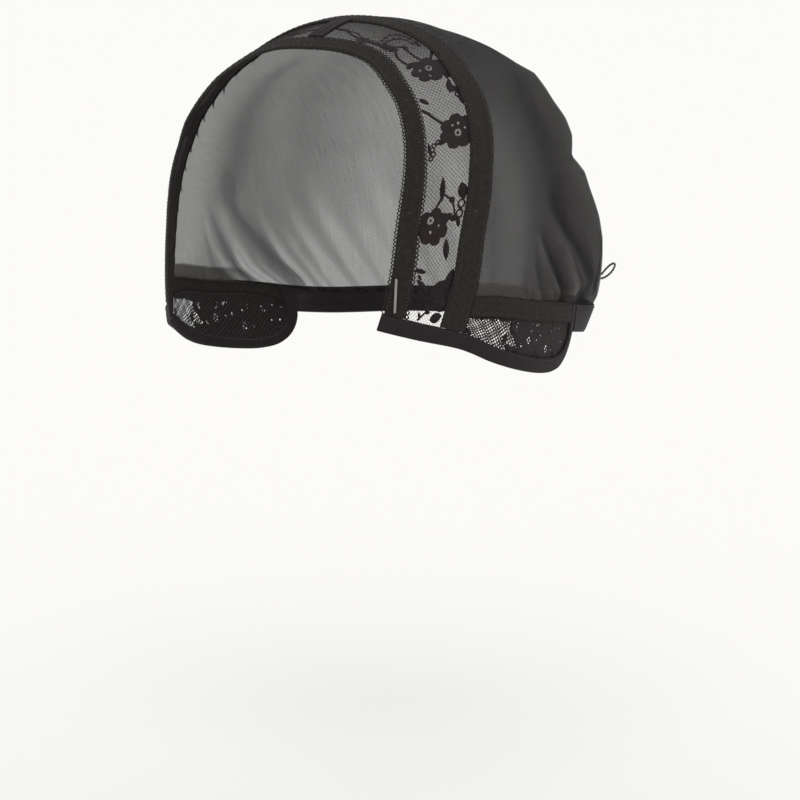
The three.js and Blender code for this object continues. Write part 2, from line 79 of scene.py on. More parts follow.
PIN_FOOT_ACROSS = 0.42
PIN_HEAD_ACROSS = 0.24
PIN_ABOVE_HEM = 1
BOWL_CENTRE = np.array([0.0, 0.0, -BOWL_RISE])

# Heights of the layers off the bowl, in millimetres
CLOTH_RISE = 0.12
CLOTH_THICK = 0.3
NET_RISE = 0.16
MOTIF_RISE = 0.3
BAND_RISE = 1.38
BAND_THICK = 0.85
STRAP_RISE = 1.35
STRAP_THICK = 1.2
TAPE_THICK = 1.25
TUCK = 1.8
STITCH_RADIUS = 0.17
NET_THREAD_HEIGHT = 0.16
CLOTHWORK_THICK = 0.14
MERGE_WITHIN = 1e-4

# Face opening: share of the half width, share of the height
OPENING_EDGE = [
    (0.0, 0.0), (0.32, 0.013), (0.52, 0.05), (0.715, 0.135), (0.84, 0.215), (0.945, 0.34),
    (0.985, 0.46), (0.975, 0.64), (0.94, 0.83), (0.88, 1.0), (0.84, 1.1),
]
# At the shoulder, a third of the way down, the lace is stretched a little wider than in the solids
# and the crown band is drawn a little narrower
STRIP_SECTIONS = {
    "along": (0.0, 0.35, 0.5, 0.65, 0.8, 1.0),
    "front": (1.0, 0.92, 0.9, 1.0, 1.0, 1.1),
    "lace": (1.0, 0.97, 0.86, 0.8, 0.76, 0.58),
    "crown": (1.0, 0.93, 0.88, 0.91, 0.95, 0.95),
}
# Lower edge and waist: bearing from the front in degrees, share of the cap's depth
HEM_EDGE = [
    (33.8, 0.827), (43, 0.853), (58.5, 0.89), (71, 0.936), (84.5, 0.971), (98, 0.993),
    (109, 1.0), (116.5, 0.992), (121.5, 0.965), (124, 0.92), (123.5, 0.86), (122, 0.8),
]
HEM_SECTIONS = {"along": (0.0, 0.35, 0.7, 1.0), "width": (1.0, 0.88, 0.88, 1.0)}
WAIST_EDGE = [
    (52, 0.737), (72, 0.754), (88, 0.778), (105, 0.796), (122, 0.82), (136, 0.832),
    (158, 0.836), (180, 0.836),
]
# How far the cloth stands off the bowl, by shares of the depth
BACK_PROFILE = {
    "drop": (0.0, 0.03, 0.09, 0.145, 0.18, 0.25, 0.3, 0.345, 0.4, 0.455, 0.52, 0.58, 0.645, 0.78, 1),
    "lift": (0.0, -0.16, 0, 0.1, 0.34, 0.13, 0.18, 0.05, -0.45, 0.12, 0.38, 0.72, 0.97, 1.02, 1),
}
RIGHT_PROFILE = {
    "drop": (0.0, 0.12, 0.18, 0.3, 0.36, 0.5, 0.57, 0.74, 0.84, 1.0),
    "lift": (0.0, 0.05, 0.35, 0.4, 0.1, 0.05, 0.2, 0.75, 1.0, 1.0),
}
# Gathers above the waist: bearing and half width in degrees, share of the depth, share of the
# crown that each runs up
GATHERS = [
    (76, 2.4, 0.35, 0.2), (83, 1.8, 0.3, 0.16), (89, 2.2, 0.6, 0.3), (99, 1.5, 0.5, 0.25),
    (102.5, 1.7, 0.9, 0.42), (112.5, 1.6, 0.7, 0.45), (116, 1.8, 1.1, 0.55), (120, 1.3, 0.5, 0.3),
    (131, 1.9, 1.1, 0.55), (136, 1.7, 0.7, 0.35), (141, 2.0, 1.0, 0.45), (148, 2.1, 1.0, 0.5),
    (154, 1.8, 0.6, 0.3), (160, 2.2, 0.9, 0.42), (166, 1.7, 0.6, 0.3), (172, 2.2, 1.0, 0.5),
    (180, 2.4, 0.9, 0.45),
]

# Long folds of the crown's cloth: shares of the depth down each, the bearings there, its half
# width in degrees, and its height from -1 for a deep valley to 1 for a high ridge
LONG_FOLDS = [
    ((0.12, 0.19, 0.26, 0.33, 0.44, 0.52), (114, 104, 101, 100, 100.5, 99), 7, -0.7),
    ((0.47, 0.555, 0.6, 0.64, 0.69, 0.745, 0.81), (97, 100.2, 104, 109, 114.7, 120.3, 128), 3, -1),
    ((0.57, 0.624, 0.67, 0.716, 0.8), (89.6, 92.5, 96.1, 99.2, 107), 1.7, -1),
    ((0.64, 0.7, 0.742, 0.8), (87.4, 89.2, 91, 95.5), 1.3, -0.8),
    ((0.72, 0.8), (85.6, 87), 0.8, -0.5),
    ((0.7, 0.8), (82.6, 83.6), 0.8, -0.4),
    ((0.6, 0.66, 0.72, 0.8), (88, 91, 95.1, 102), 1.3, 0.6),
    ((0.58, 0.63, 0.69, 0.755, 0.82), (97, 99.8, 104.2, 107.6, 114), 2.4, 1),
    ((0.25, 0.4, 0.55, 0.7), (117, 119, 121, 127), 6, 0.3),
]
FOLD_DEPTH = 1.1
# Puckers behind the crown band on the right side: their reach is a share of the way down
PUCKER_HEIGHT = 2.3
PUCKER_PITCH = 9
PUCKER_REACH = 0.085

PATH_STEPS = 60
FINE = 400
SMALL_GATHERS = 30


# The bowl's surface

def length(v):
    return np.linalg.norm(v, axis=-1, keepdims=True)


def unit(v):
    return v / length(v)


def smoothstep(value, low, high):
    share = np.clip((value - low) / (high - low), 0, 1)
    return share * share * (3 - 2 * share)


def semi_axes(direction):
    to_front = np.maximum(-direction[..., 1], 0)
    return np.stack([
        BOWL_HALF_WIDTH * (1 - TEMPLE_PINCH * to_front ** 2),
        np.where(direction[..., 1] < 0, BOWL_FRONT, BOWL_REAR),
        np.where(direction[..., 2] > 0, BOWL_RISE, BOWL_DROP),
    ], axis=-1)


def seat(points):
    """The bowl's point in the direction of each point, seen from the middle of the bowl."""
    direction = unit(np.asarray(points, float) - BOWL_CENTRE)
    return BOWL_CENTRE + direction / length(direction / semi_axes(direction))


def normal_at(points):
    offset = np.asarray(points, float) - BOWL_CENTRE
    return unit(offset / semi_axes(unit(offset)) ** 2)


def raised(points, lift):
    return points + normal_at(points) * np.asarray(lift)[..., None]


def found_on_bowl(trial_at, far, halvings=40):
    near = 0.0
    for _ in range(halvings):
        middle = (near + far) / 2
        trial = trial_at(middle)
        inside = length(trial - BOWL_CENTRE) < length(seat(trial) - BOWL_CENTRE)
        near, far = (middle, far) if inside else (near, middle)
    return seat(trial_at(near))


def front_point(x, z):
    return found_on_bowl(lambda y: np.array([x, y, z]), -BOWL_FRONT)


def side_point(bearing, drop):
    angle = math.radians(bearing)
    along = np.array([math.sin(angle), -math.cos(angle), 0])
    level = np.array([0, 0, -drop * CAP_DEPTH])
    return found_on_bowl(lambda reach: along * reach + level, BOWL_REAR)


def bearing_of(points):
    return np.degrees(np.arctan2(points[..., 0], -points[..., 1]))


# Paths on the bowl

def resample(path, steps):
    path = np.asarray(path)
    along = np.concatenate([[0], np.cumsum(length(np.diff(path, axis=0))[:, 0])])
    wanted = np.linspace(0, along[-1], steps + 1)
    return seat(np.stack([np.interp(wanted, along, path[:, k]) for k in range(3)], axis=-1))


def smooth_path(controls, steps, samples=200):
    """A centripetal curve through the control points, cut into even steps and laid on the bowl."""
    p = np.asarray(controls)
    p = np.vstack([2 * p[0] - p[1], p, 2 * p[-1] - p[-2]])
    fine = []
    for t in np.linspace(0, len(p) - 3, samples + 1):
        i = min(int(t), len(p) - 4)
        w = t - i
        a, b, c, d = p[i:i + 4]
        ab, bc, cd = (math.sqrt(np.linalg.norm(m - n)) for m, n in ((a, b), (b, c), (c, d)))
        leaving = ((b - a) / ab - (c - a) / (ab + bc) + (c - b) / bc) * bc
        coming = ((c - b) / bc - (d - b) / (bc + cd) + (d - c) / cd) * bc
        square = 3 * (c - b) - 2 * leaving - coming
        cube = 2 * (b - c) + leaving + coming
        fine.append(b + leaving * w + square * w ** 2 + cube * w ** 3)
    return resample(fine, steps)


def softened(points, steps, rounds):
    """A run of points cut into steps, with its corners rounded off."""
    knots = np.arange(len(points))
    at = np.linspace(0, len(points) - 1, steps + 1)
    line = np.stack([np.interp(at, knots, axis) for axis in points.T], axis=-1)
    for _ in range(rounds):
        line[1:-1] = (line[:-2] + 2 * line[1:-1] + line[2:]) / 4
    return line


def mirrored(path):
    return path * np.array([-1, 1, 1])


def whole_path(half):
    return np.vstack([mirrored(half)[::-1], half[1:]])


def round_back(half):
    return np.vstack([half, mirrored(half)[::-1][1:]])


def offset_path(path, distances, steps=20):
    """A path moved sideways along the bowl, to the left of its run seen from outside."""
    before = np.vstack([path[:1], path[:-1]])
    after = np.vstack([path[1:], path[-1:]])
    heading = unit(np.cross(normal_at(path), unit(after - before)))
    step = np.broadcast_to(distances, len(path))[:, None] / steps
    points, move = path.copy(), heading * step
    for _ in range(steps):
        reached = seat(points + move)
        move = unit(reached - points + heading * 1e-12) * np.abs(step)
        points = reached
    return points


def crossing(path, barrier):
    """Where two paths cross, read by bearing and level."""
    first, second = (np.stack([np.abs(bearing_of(p)), p[:, 2]], axis=-1) for p in (path, barrier))
    for i in range(1, len(path)):
        run = first[i] - first[i - 1]
        for j in range(1, len(barrier)):
            other = second[j] - second[j - 1]
            gap = second[j - 1] - first[i - 1]
            turn = run[0] * other[1] - run[1] * other[0]
            if turn == 0:
                continue
            s = (gap[0] * other[1] - gap[1] * other[0]) / turn
            t = (gap[0] * run[1] - gap[1] * run[0]) / turn
            if 0 <= s <= 1 and 0 <= t <= 1:
                return i, seat(path[i - 1] + s * (path[i] - path[i - 1]))
    return None


def cut_before(path, barrier):
    found = crossing(path, barrier)
    return path if found is None else np.vstack([path[:found[0]], found[1][None]])


def cut_after(path, barrier):
    found = crossing(path, barrier)
    return path if found is None else np.vstack([found[1][None], path[found[0]:]])


def beside_middle(path, distance):
    k = int(np.argmax(path[:, 0] > distance))
    share = (distance - path[k - 1][0]) / (path[k][0] - path[k - 1][0])
    return np.vstack([seat(path[k - 1] + share * (path[k] - path[k - 1]))[None], path[k:]])


def between(a, b, share):
    """The point at a share of the great arc between two points of the bowl."""
    a, b = unit(a - BOWL_CENTRE), unit(b - BOWL_CENTRE)
    share = np.asarray(share)[..., None]
    angle = np.maximum(np.arccos(np.clip((a * b).sum(-1, keepdims=True), -1, 1)), 1e-9)
    return seat(BOWL_CENTRE + a * np.sin((1 - share) * angle) + b * np.sin(share * angle))


# Edges that the pieces share, on the wearer's left half

opening_half = [
    front_point(across * OPENING_HALF_WIDTH, -BROW_DROP - down * OPENING_HEIGHT)
    for across, down in OPENING_EDGE
]
opening_edge = smooth_path(whole_path(np.array(opening_half)), 2 * PATH_STEPS)[PATH_STEPS:]
hem_edge = smooth_path([side_point(*row) for row in HEM_EDGE], PATH_STEPS)
waist_half = np.array([side_point(*row) for row in WAIST_EDGE])
waist_edge = smooth_path(round_back(waist_half), 2 * PATH_STEPS)[:PATH_STEPS + 1]


def strip_width(piece, named, along):
    return named * np.interp(along, STRIP_SECTIONS["along"], STRIP_SECTIONS[piece])


def to_lace(along):
    return strip_width("front", FRONT_BAND_WIDTH, along)


def to_crown_band(along):
    return to_lace(along) + CLEARANCE + strip_width("lace", LACE_WIDTH, along)


def to_crown(along):
    return to_crown_band(along) + CLEARANCE + strip_width("crown", CROWN_BAND_WIDTH, along)


def beside_opening(distance_at, more=0.0):
    arch = whole_path(opening_edge)
    along = np.abs(np.linspace(-1, 1, len(arch)))
    return offset_path(arch, distance_at(along) + more)[PATH_STEPS:]


def hem_offset(more=0.0):
    along = np.linspace(0, 1, len(hem_edge))
    width = HEM_WIDTH * np.interp(along, HEM_SECTIONS["along"], HEM_SECTIONS["width"])
    return offset_path(hem_edge, width + more)


def below_waist(distance):
    return offset_path(waist_edge, -distance)


above_hem = hem_offset(CLEARANCE)
hem_barrier = np.vstack([side_point(0, -above_hem[0][2] / CAP_DEPTH)[None], above_hem])
crown_front = beside_opening(to_crown, CLEARANCE)
side_band_foot = CLEARANCE + SIDE_BAND_WIDTH


def to_hem(path):
    return cut_before(path, hem_barrier)


# How far the cloth stands off the bowl

def right_lift(points):
    """The right half stands off the wearer's temple, less and less toward the ear."""
    to_front = 1 - smoothstep(np.abs(bearing_of(points)), 75, 100)
    drop = -points[..., 2] / CAP_DEPTH
    share = np.interp(drop, RIGHT_PROFILE["drop"], RIGHT_PROFILE["lift"])
    return np.where(points[..., 0] > 0, 0, RIGHT_TAB_LIFT * share * to_front)


def strip_lift(points, u, v):
    return right_lift(points)


def nape_share(points):
    return smoothstep(np.abs(bearing_of(points)), 121, 136)


def strap_lift(points, u, v):
    standoff = STRAP_STANDOFF + (STRAP_FOOT_STANDOFF - STRAP_STANDOFF) * v
    return standoff * nape_share(points)


def gathered(foot_bearing, down):
    """How far the cloth stands up in a gather at its foot, as a share of the deepest gather."""
    ridge = np.zeros_like(down)
    for at, half, depth, rise in all_gathers:
        away = (foot_bearing - at + 180) % 360 - 180
        ridge += depth * smoothstep(down, 1 - rise, 1) * np.exp(-(away / half) ** 2)
    return ridge


def foot_bearing_at(u):
    return np.interp(np.clip(u, 0, 1) * FINE, np.arange(FINE + 1), crown_foot_bearing)


def drape_lift(points, down):
    """Soft hollows and swells of the bagged cloth between its gathers."""
    bearing = np.radians(bearing_of(points))
    toward_back = smoothstep(np.abs(np.degrees(bearing)), 70, 120)
    wave = np.sin(9 * bearing + 5 * down) * np.sin(7 * down + 2 * bearing)
    fine = np.sin(23 * bearing - 9 * down) * np.sin(15 * down + 4 * bearing)
    return toward_back * np.sin(math.pi * np.clip(down, 0, 1)) * (0.5 * wave + 0.2 * fine)


def folded(points):
    """How high the long folds stand, from -1 in a valley to 1 on a ridge."""
    bearing = np.abs(bearing_of(points)) + np.where(points[..., 0] < 0, 1.5, 0)
    drop = -points[..., 2] / CAP_DEPTH
    height = np.zeros_like(drop)
    for drops, bearings, half, rise in LONG_FOLDS:
        away = (bearing - np.interp(drop, drops, bearings)) / half
        shown = smoothstep(drop, drops[0] - 0.04, drops[0] + 0.05)
        shown *= 1 - smoothstep(drop, drops[-1] - 0.02, drops[-1] + 0.06)
        height += rise * shown * np.exp(-away ** 2)
    return np.clip(height, -1, 1)


def puckered(points, u, v):
    """Puckers of the slack cloth just behind the crown band, on the wearer's right."""
    along = u * crown_cloth_long
    wave = np.maximum(np.cos(2 * math.pi * (along + 2 * np.sin(along / 13)) / PUCKER_PITCH), 0) ** 2
    behind_band = np.sin(math.pi * np.clip(v / PUCKER_REACH, 0, 1))
    return PUCKER_HEIGHT * wave * behind_band * smoothstep(-points[..., 0], 0, 25)


def crown_lift(points, u, v):
    to_back = smoothstep(np.abs(bearing_of(points)), 80, 130)
    drop = -points[..., 2] / CAP_DEPTH
    bag = BAG_DEPTH * to_back * np.interp(drop, BACK_PROFILE["drop"], BACK_PROFILE["lift"])
    at_waist = STRAP_STANDOFF * nape_share(points)
    drawn = smoothstep(v, 0.88, 1)
    sewn_flat = 0.85 * smoothstep(v, 0.97, 1)
    ridges = GATHER_DEPTH * gathered(foot_bearing_at(u), v) + FOLD_DEPTH * folded(points)
    ridges *= 1 - sewn_flat
    under_strap = -0.9 * smoothstep(v, 1, 1.02)
    lift = bag + (at_waist - bag) * drawn + ridges + drape_lift(points, v) + under_strap
    return lift + puckered(points, u, v) + right_lift(points)


class Strip:
    """Cloth between two edges of the bowl. Flat cloth has x along it and y across, in millimetres."""

    def __init__(self, first, last, lift=strip_lift):
        self.first, self.last, self.lift = resample(first, FINE), resample(last, FINE), lift
        middle = between(self.first, self.last, np.full(FINE + 1, 0.5))
        self.long = float(length(np.diff(middle, axis=0)).sum())
        self.wide = float(length(self.first - self.last).mean())

    def place(self, x, y, rise):
        u, v = x / self.long, y / self.wide
        at = np.clip(u, 0, 1) * FINE
        i = np.minimum(at.astype(int), FINE - 1)
        part = (at - i)[..., None]
        a, b = (edge[i] + (edge[i + 1] - edge[i]) * part for edge in (self.first, self.last))
        points = between(a, b, v)
        beyond = (u - np.clip(u, 0, 1)) * self.long
        run = unit(self.first[i + 1] - self.first[i])
        return raised(points + run * beyond[..., None], rise + self.lift(points, u, v))

    def mirrored(self):
        return Strip(mirrored(self.first), mirrored(self.last), self.lift)


def both_sides(strip):
    return (("left", strip), ("right", strip.mirrored()))


def arch_strip(first, last):
    return Strip(whole_path(to_hem(first)), whole_path(to_hem(last)))


def ear_strip(top, foot, cut):
    return Strip(*(cut_before(cut_after(path, crown_front), cut) for path in (top, foot)))


front_band = arch_strip(opening_edge, beside_opening(to_lace))
crown_band = arch_strip(beside_opening(to_crown_band, CLEARANCE), beside_opening(to_crown))
lace_front, lace_back = beside_opening(to_lace, CLEARANCE), beside_opening(to_crown_band)
lace_left = Strip(*(beside_middle(to_hem(p), CLEARANCE / 2) for p in (lace_front, lace_back)))


def across_middle(path):
    end = beside_middle(path, SEAM_TAPE_WIDTH / 2)[:1]
    return np.vstack([mirrored(end), path[:1], end])


seam_tape = Strip(across_middle(lace_front), across_middle(lace_back))
side_left = ear_strip(below_waist(CLEARANCE), below_waist(side_band_foot), above_hem)
nape_top = below_waist(side_band_foot + CLEARANCE)
nape_left = Strip(
    cut_before(cut_after(nape_top, crown_front), above_hem),
    cut_before(cut_after(above_hem, crown_front), nape_top),
)
hem_end = below_waist(CLEARANCE)
hem_left = Strip(cut_before(hem_offset(), hem_end), cut_before(hem_edge, hem_end))
behind_hem = offset_path(hem_edge, -CLEARANCE)
strap = Strip(
    *(round_back(cut_after(below_waist(CLEARANCE + down), behind_hem)) for down in (0, STRAP_WIDTH)),
    lift=strap_lift,
)
crown_foot = mirrored(round_back(cut_after(waist_edge, crown_front)))
crown_foot_bearing = np.unwrap(bearing_of(resample(crown_foot, FINE)), period=360)
small_folds = random.Random(5)
all_gathers = [(side * row[0], *row[1:]) for row in GATHERS for side in (1, -1) if row[0] < 180]
all_gathers.append(GATHERS[-1])
for _ in range(SMALL_GATHERS):
    all_gathers.append((
        small_folds.uniform(80, 280),
        small_folds.uniform(0.8, 1.4),
        small_folds.uniform(0.12, 0.35),
        small_folds.uniform(0.12, 0.3),
    ))
crown_cloth = Strip(whole_path(cut_before(crown_front, waist_edge)), crown_foot, crown_lift)
crown_cloth_long = crown_cloth.long


# Drawing flat cloth and laying it on the bowl

def flat_grid(x0, x1, y0, y1, cells_along, cells_across, rise=0.0):
    bm = bmesh.new()
    bmesh.ops.create_grid(bm, x_segments=cells_along, y_segments=cells_across, size=0.5)
    bmesh.ops.scale(bm, vec=(x1 - x0, y1 - y0, 1), verts=bm.verts)
    bmesh.ops.translate(bm, vec=((x0 + x1) / 2, (y0 + y1) / 2, rise), verts=bm.verts)
    return bm


def lay(bm, strip):
    """Lays what was drawn flat on its strip of the bowl, and keeps the flat places as UVs."""
    bm.verts.index_update()
    flat = np.array([vert.co for vert in bm.verts])
    laid = strip.place(*flat.T) * MM
    cloth_uv = bm.loops.layers.uv.new("cloth")
    for face in bm.faces:
        for loop in face.loops:
            loop[cloth_uv].uv = flat[loop.vert.index][:2]
    for vert, place in zip(bm.verts, laid):
        vert.co = place
    along, across = strip.long / 2, strip.wide / 2
    corner = strip.place(np.array([along, along + 1, along]), np.array([across, across, across + 1]),
                         np.zeros(3))
    facing = np.cross(corner[1] - corner[0], corner[2] - corner[0])
    if facing @ normal_at(corner[0]) < 0:
        bmesh.ops.reverse_faces(bm, faces=bm.faces)


def show(name, bm, finishes, nodes=()):
    mesh = bpy.data.meshes.new(name)
    for face in bm.faces:
        face.smooth = True
    bm.to_mesh(mesh)
    bm.free()
    for finish in finishes:
        mesh.materials.append(finish)
    piece = bpy.data.objects.new(name, mesh)
    bpy.context.scene.collection.objects.link(piece)
    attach(piece, "root")
    if nodes:
        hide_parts(*nodes)
    return piece


def thicken(piece, thickness, offset=-1):
    """Gives laid cloth its thickness: inward at -1, outward at 1."""
    wall = piece.modifiers.new("wall", "SOLIDIFY")
    wall.thickness = thickness * MM
    wall.offset = offset
    return piece


# Materials

def linear(hex_colour):
    """sRGB hex to the linear colour that shaders take."""
    parts = [int(hex_colour[i:i + 2], 16) / 255 for i in (1, 3, 5)]
    return tuple(p / 12.92 if p <= 0.04045 else ((p + 0.055) / 1.055) ** 2.4 for p in parts) + (1,)


def add(tree, kind, sockets=None, **settings):
    """Adds a shader node, with its settings, and fills or links its sockets."""
    made = tree.nodes.new(kind)
    for name, value in settings.items():
        setattr(made, name, value)
    for key, value in (sockets or {}).items():
        if isinstance(value, bpy.types.NodeSocket):
            tree.links.new(value, made.inputs[key])
        else:
            made.inputs[key].default_value = value
    return made


def start_material(name):
    finish = bpy.data.materials.new(name)
    finish.use_nodes = True
    tree = finish.node_tree
    tree.nodes.clear()
    return finish, tree


def wave_of(tree, value, pitch):
    """A wave from -1 to 1 that repeats every pitch millimetres."""
    turns = add(tree, "ShaderNodeMath", {0: value, 1: 2 * math.pi / pitch}, operation="MULTIPLY")
    return add(tree, "ShaderNodeMath", {0: turns.outputs[0]}, operation="SINE").outputs[0]


def knit_relief(tree, x, y, wale_pitch, course_pitch):
    """A knit's relief from -1 to 1: waves along and across the cloth, multiplied."""
    return add(tree, "ShaderNodeMath", {
        0: wave_of(tree, x, wale_pitch),
        1: wave_of(tree, y, course_pitch),
    }, operation="MULTIPLY").outputs[0]


def cloth_coordinates(tree):
    """Where a point lies on its flat cloth, in millimetres along it and across it."""
    uv = add(tree, "ShaderNodeUVMap", uv_map="cloth")
    split = add(tree, "ShaderNodeSeparateXYZ", {"Vector": uv.outputs["UV"]})
    return split.outputs["X"], split.outputs["Y"]


def mottled(tree, dark, light, patch_mm, detail=3.0):
    """A colour that drifts between two dyes over patches of a given size."""
    place = add(tree, "ShaderNodeTexCoord")
    noise = add(tree, "ShaderNodeTexNoise", {
        "Vector": place.outputs["Object"],
        "Scale": 1 / (patch_mm * MM),
        "Detail": detail,
    })
    return add(tree, "ShaderNodeMix", {
        "Factor": noise.outputs["Fac"],
        "A": linear(dark),
        "B": linear(light),
    }, data_type="RGBA").outputs["Result"]


def finish_cloth(tree, colour, height, depth_mm, roughness, gloss, sheen, alpha=None):
    """Cloth shines less than a smooth plastic of the same thread, so its gloss is low."""
    bump = add(tree, "ShaderNodeBump", {"Height": height, "Strength": 1.0, "Distance": depth_mm * MM})
    shader = add(tree, "ShaderNodeBsdfPrincipled", {
        "Base Color": colour,
        "Roughness": roughness,
        "IOR": 1.5,
        "Specular IOR Level": gloss,
        "Sheen Weight": sheen,
        "Sheen Roughness": 0.5,
        "Normal": bump.outputs["Normal"],
    })
    if alpha is not None:
        tree.links.new(alpha, shader.inputs["Alpha"])
    add(tree, "ShaderNodeOutputMaterial", {"Surface": shader.outputs["BSDF"]})


def power_mesh():
    """Warp-knitted polyamide power mesh, dyed black: matte threads round small regular holes. The
    holes open where the cloth is stretched, and more of what lies behind it shows through."""
    finish, tree = start_material("power_mesh_warp_knitted")
    x, y = cloth_coordinates(tree)
    # The real holes lie about 0.5 mm apart, so most of their openness is an even see-through
    wave = knit_relief(tree, x, y, 1.1, 1.1)
    along_wales = add(tree, "ShaderNodeMapping", {
        "Vector": add(tree, "ShaderNodeUVMap", uv_map="cloth").outputs["UV"],
        "Scale": (1.4, 0.06, 1.0),
    })
    wales = add(tree, "ShaderNodeTexNoise", {
        "Vector": along_wales.outputs["Vector"], "Scale": 1.0, "Detail": 2.0,
    })
    streak = add(tree, "ShaderNodeMapRange", {
        "Value": wales.outputs["Fac"],
        "From Min": 0.3, "From Max": 0.7, "To Min": -0.018, "To Max": 0.018,
    })
    openness = add(tree, "ShaderNodeAttribute", attribute_name="openness")
    streaked = add(tree, "ShaderNodeMath", {
        0: openness.outputs["Fac"],
        1: streak.outputs["Result"],
    }, operation="ADD")
    see_through = add(tree, "ShaderNodeMath", {
        0: wave, 1: 0.045, 2: streaked.outputs[0],
    }, operation="MULTIPLY_ADD")
    cover = add(tree, "ShaderNodeMath", {0: 1.0, 1: see_through.outputs[0]}, operation="SUBTRACT")
    # The colour is darkened toward #131110 as painted shade in the crown's valleys, and lightened as a
    # painted highlight on its ridges and as painted light where it lies double
    painted_shade_and_light = add(tree, "ShaderNodeAttribute", attribute_name="painted_shade_and_light")
    painted_light_share = add(tree, "ShaderNodeMapRange", {
        "Value": painted_shade_and_light.outputs["Fac"], "From Min": -1.0, "From Max": 3.0,
    })
    colour = add(tree, "ShaderNodeMix", {
        "Factor": painted_light_share.outputs["Result"],
        "A": linear("#131110"),
        "B": mottled(tree, "#3c3937", "#474442", 18),
    }, data_type="RGBA").outputs["Result"]
    finish_cloth(tree, colour, wave, 0.05, 0.85, 0.15, 0.02, cover.outputs[0])
    return finish


def knitted_elastic():
    """Raschel-knitted elastic of textured polyamide over rubber: a fine uneven knit, lighter on its
    raised loops and darker between them as painted highlight and shade, with here and there a light
    fleck, a painted glint of a bare yarn."""
    finish, tree = start_material("elastic_raschel_knitted")
    x, y = cloth_coordinates(tree)
    height = knit_relief(tree, x, y, 1.0, 1.3)
    place = add(tree, "ShaderNodeTexCoord")
    # Light flecks: painted glints of bare yarn, mixed into the colour toward #6d6862
    painted_glint_spots = add(tree, "ShaderNodeTexVoronoi", {
        "Vector": place.outputs["Object"], "Scale": 1 / (4.5 * MM), "Randomness": 1.0,
    })
    painted_glint = add(tree, "ShaderNodeMapRange", {
        "Value": painted_glint_spots.outputs["Distance"],
        "From Min": 0.05, "From Max": 0.09, "To Min": 0.5, "To Max": 0.0,
    }, clamp=True)
    # Painted highlight on the knit's raised loops and painted shade between them: the colour follows the
    # relief
    loops = add(tree, "ShaderNodeMapRange", {
        "Value": height, "From Min": -1.0, "From Max": 1.0, "To Min": 0.0, "To Max": 0.35,
    })
    base = add(tree, "ShaderNodeMix", {
        "Factor": loops.outputs["Result"],
        "A": mottled(tree, "#0d0c0b", "#322f2c", 1.9),
        "B": linear("#34312f"),
    }, data_type="RGBA")
    colour = add(tree, "ShaderNodeMix", {
        "Factor": painted_glint.outputs["Result"],
        "A": base.outputs["Result"],
        "B": linear("#6d6862"),
    }, data_type="RGBA")
    finish_cloth(tree, colour.outputs["Result"], height, 0.22, 0.85, 0.15, 0.02)
    return finish


def thread_finish(name, dyes, twist_mm, depth_mm, roughness, gloss):
    """Thread, uneven with its own twist."""
    finish, tree = start_material(name)
    place = add(tree, "ShaderNodeTexCoord")
    twist = add(tree, "ShaderNodeTexNoise", {
        "Vector": place.outputs["Object"],
        "Scale": 1 / (twist_mm * MM),
    })
    finish_cloth(tree, mottled(tree, *dyes), twist.outputs["Fac"], depth_mm, roughness, gloss, 0.05)
    return finish


def lace_clothwork():
    """The lace's flowers and leaves: threads laid close over the net, matte, with a plum tinge."""
    finish, tree = start_material("lace_clothwork_close_threads")
    x, y = cloth_coordinates(tree)
    height = add(tree, "ShaderNodeMath", {0: wave_of(tree, x, 0.6), 1: wave_of(tree, y, 0.6)},
                 operation="ADD").outputs[0]
    finish_cloth(tree, mottled(tree, "#1d1718", "#2f2627", 2.2), height, 0.06, 0.85, 0.15, 0.03)
    return finish


def satin_binding():
    """Folded polyester satin binding: a smooth weave with a low sheen and a violet tinge."""
    finish, tree = start_material("binding_folded_satin")
    x, y = cloth_coordinates(tree)
    # The real threads lie 0.1 mm apart
    height = wave_of(tree, add(tree, "ShaderNodeMath", {0: x, 1: y}, operation="ADD").outputs[0], 0.6)
    finish_cloth(tree, mottled(tree, "#201c1d", "#2b2627", 5), height, 0.02, 0.7, 0.1, 0.0)
    return finish


def woven_elastic():
    """Woven elastic strap: ribs along its length over rubber cores, with a dull violet sheen."""
    finish, tree = start_material("elastic_woven_ribbed")
    x, y = cloth_coordinates(tree)
    height = add(tree, "ShaderNodeMath", {
        0: wave_of(tree, x, 0.8), 1: 0.4, 2: wave_of(tree, y, 0.9),
    }, operation="MULTIPLY_ADD").outputs[0]
    finish_cloth(tree, mottled(tree, "#1e1a1c", "#292426", 5), height, 0.06, 0.65, 0.16, 0.04)
    return finish


def polished_steel():
    """Drawn and polished steel wire: bright, with faint lengthwise drawing marks."""
    finish, tree = start_material("steel_drawn_polished")
    place = add(tree, "ShaderNodeTexCoord")
    marks = add(tree, "ShaderNodeTexNoise", {
        "Vector": place.outputs["Object"], "Scale": 1 / (0.5 * MM), "Detail": 4.0,
    })
    rough = add(tree, "ShaderNodeMapRange", {
        "Value": marks.outputs["Fac"], "To Min": 0.28, "To Max": 0.42,
    })
    shader = add(tree, "ShaderNodeBsdfPrincipled", {
        "Base Color": linear("#928f8a"), "Metallic": 1.0, "Roughness": rough.outputs["Result"],
    })
    add(tree, "ShaderNodeOutputMaterial", {"Surface": shader.outputs["BSDF"]})
    return finish


def matte_paper(name, hex_colour):
    """Matte white backdrop paper."""
    finish, tree = start_material(name)
    shader = add(tree, "ShaderNodeBsdfPrincipled", {"Base Color": linear(hex_colour), "Roughness": 0.9})
    add(tree, "ShaderNodeOutputMaterial", {"Surface": shader.outputs["BSDF"]})
    return finish


POWER_MESH = power_mesh()
KNITTED = knitted_elastic()
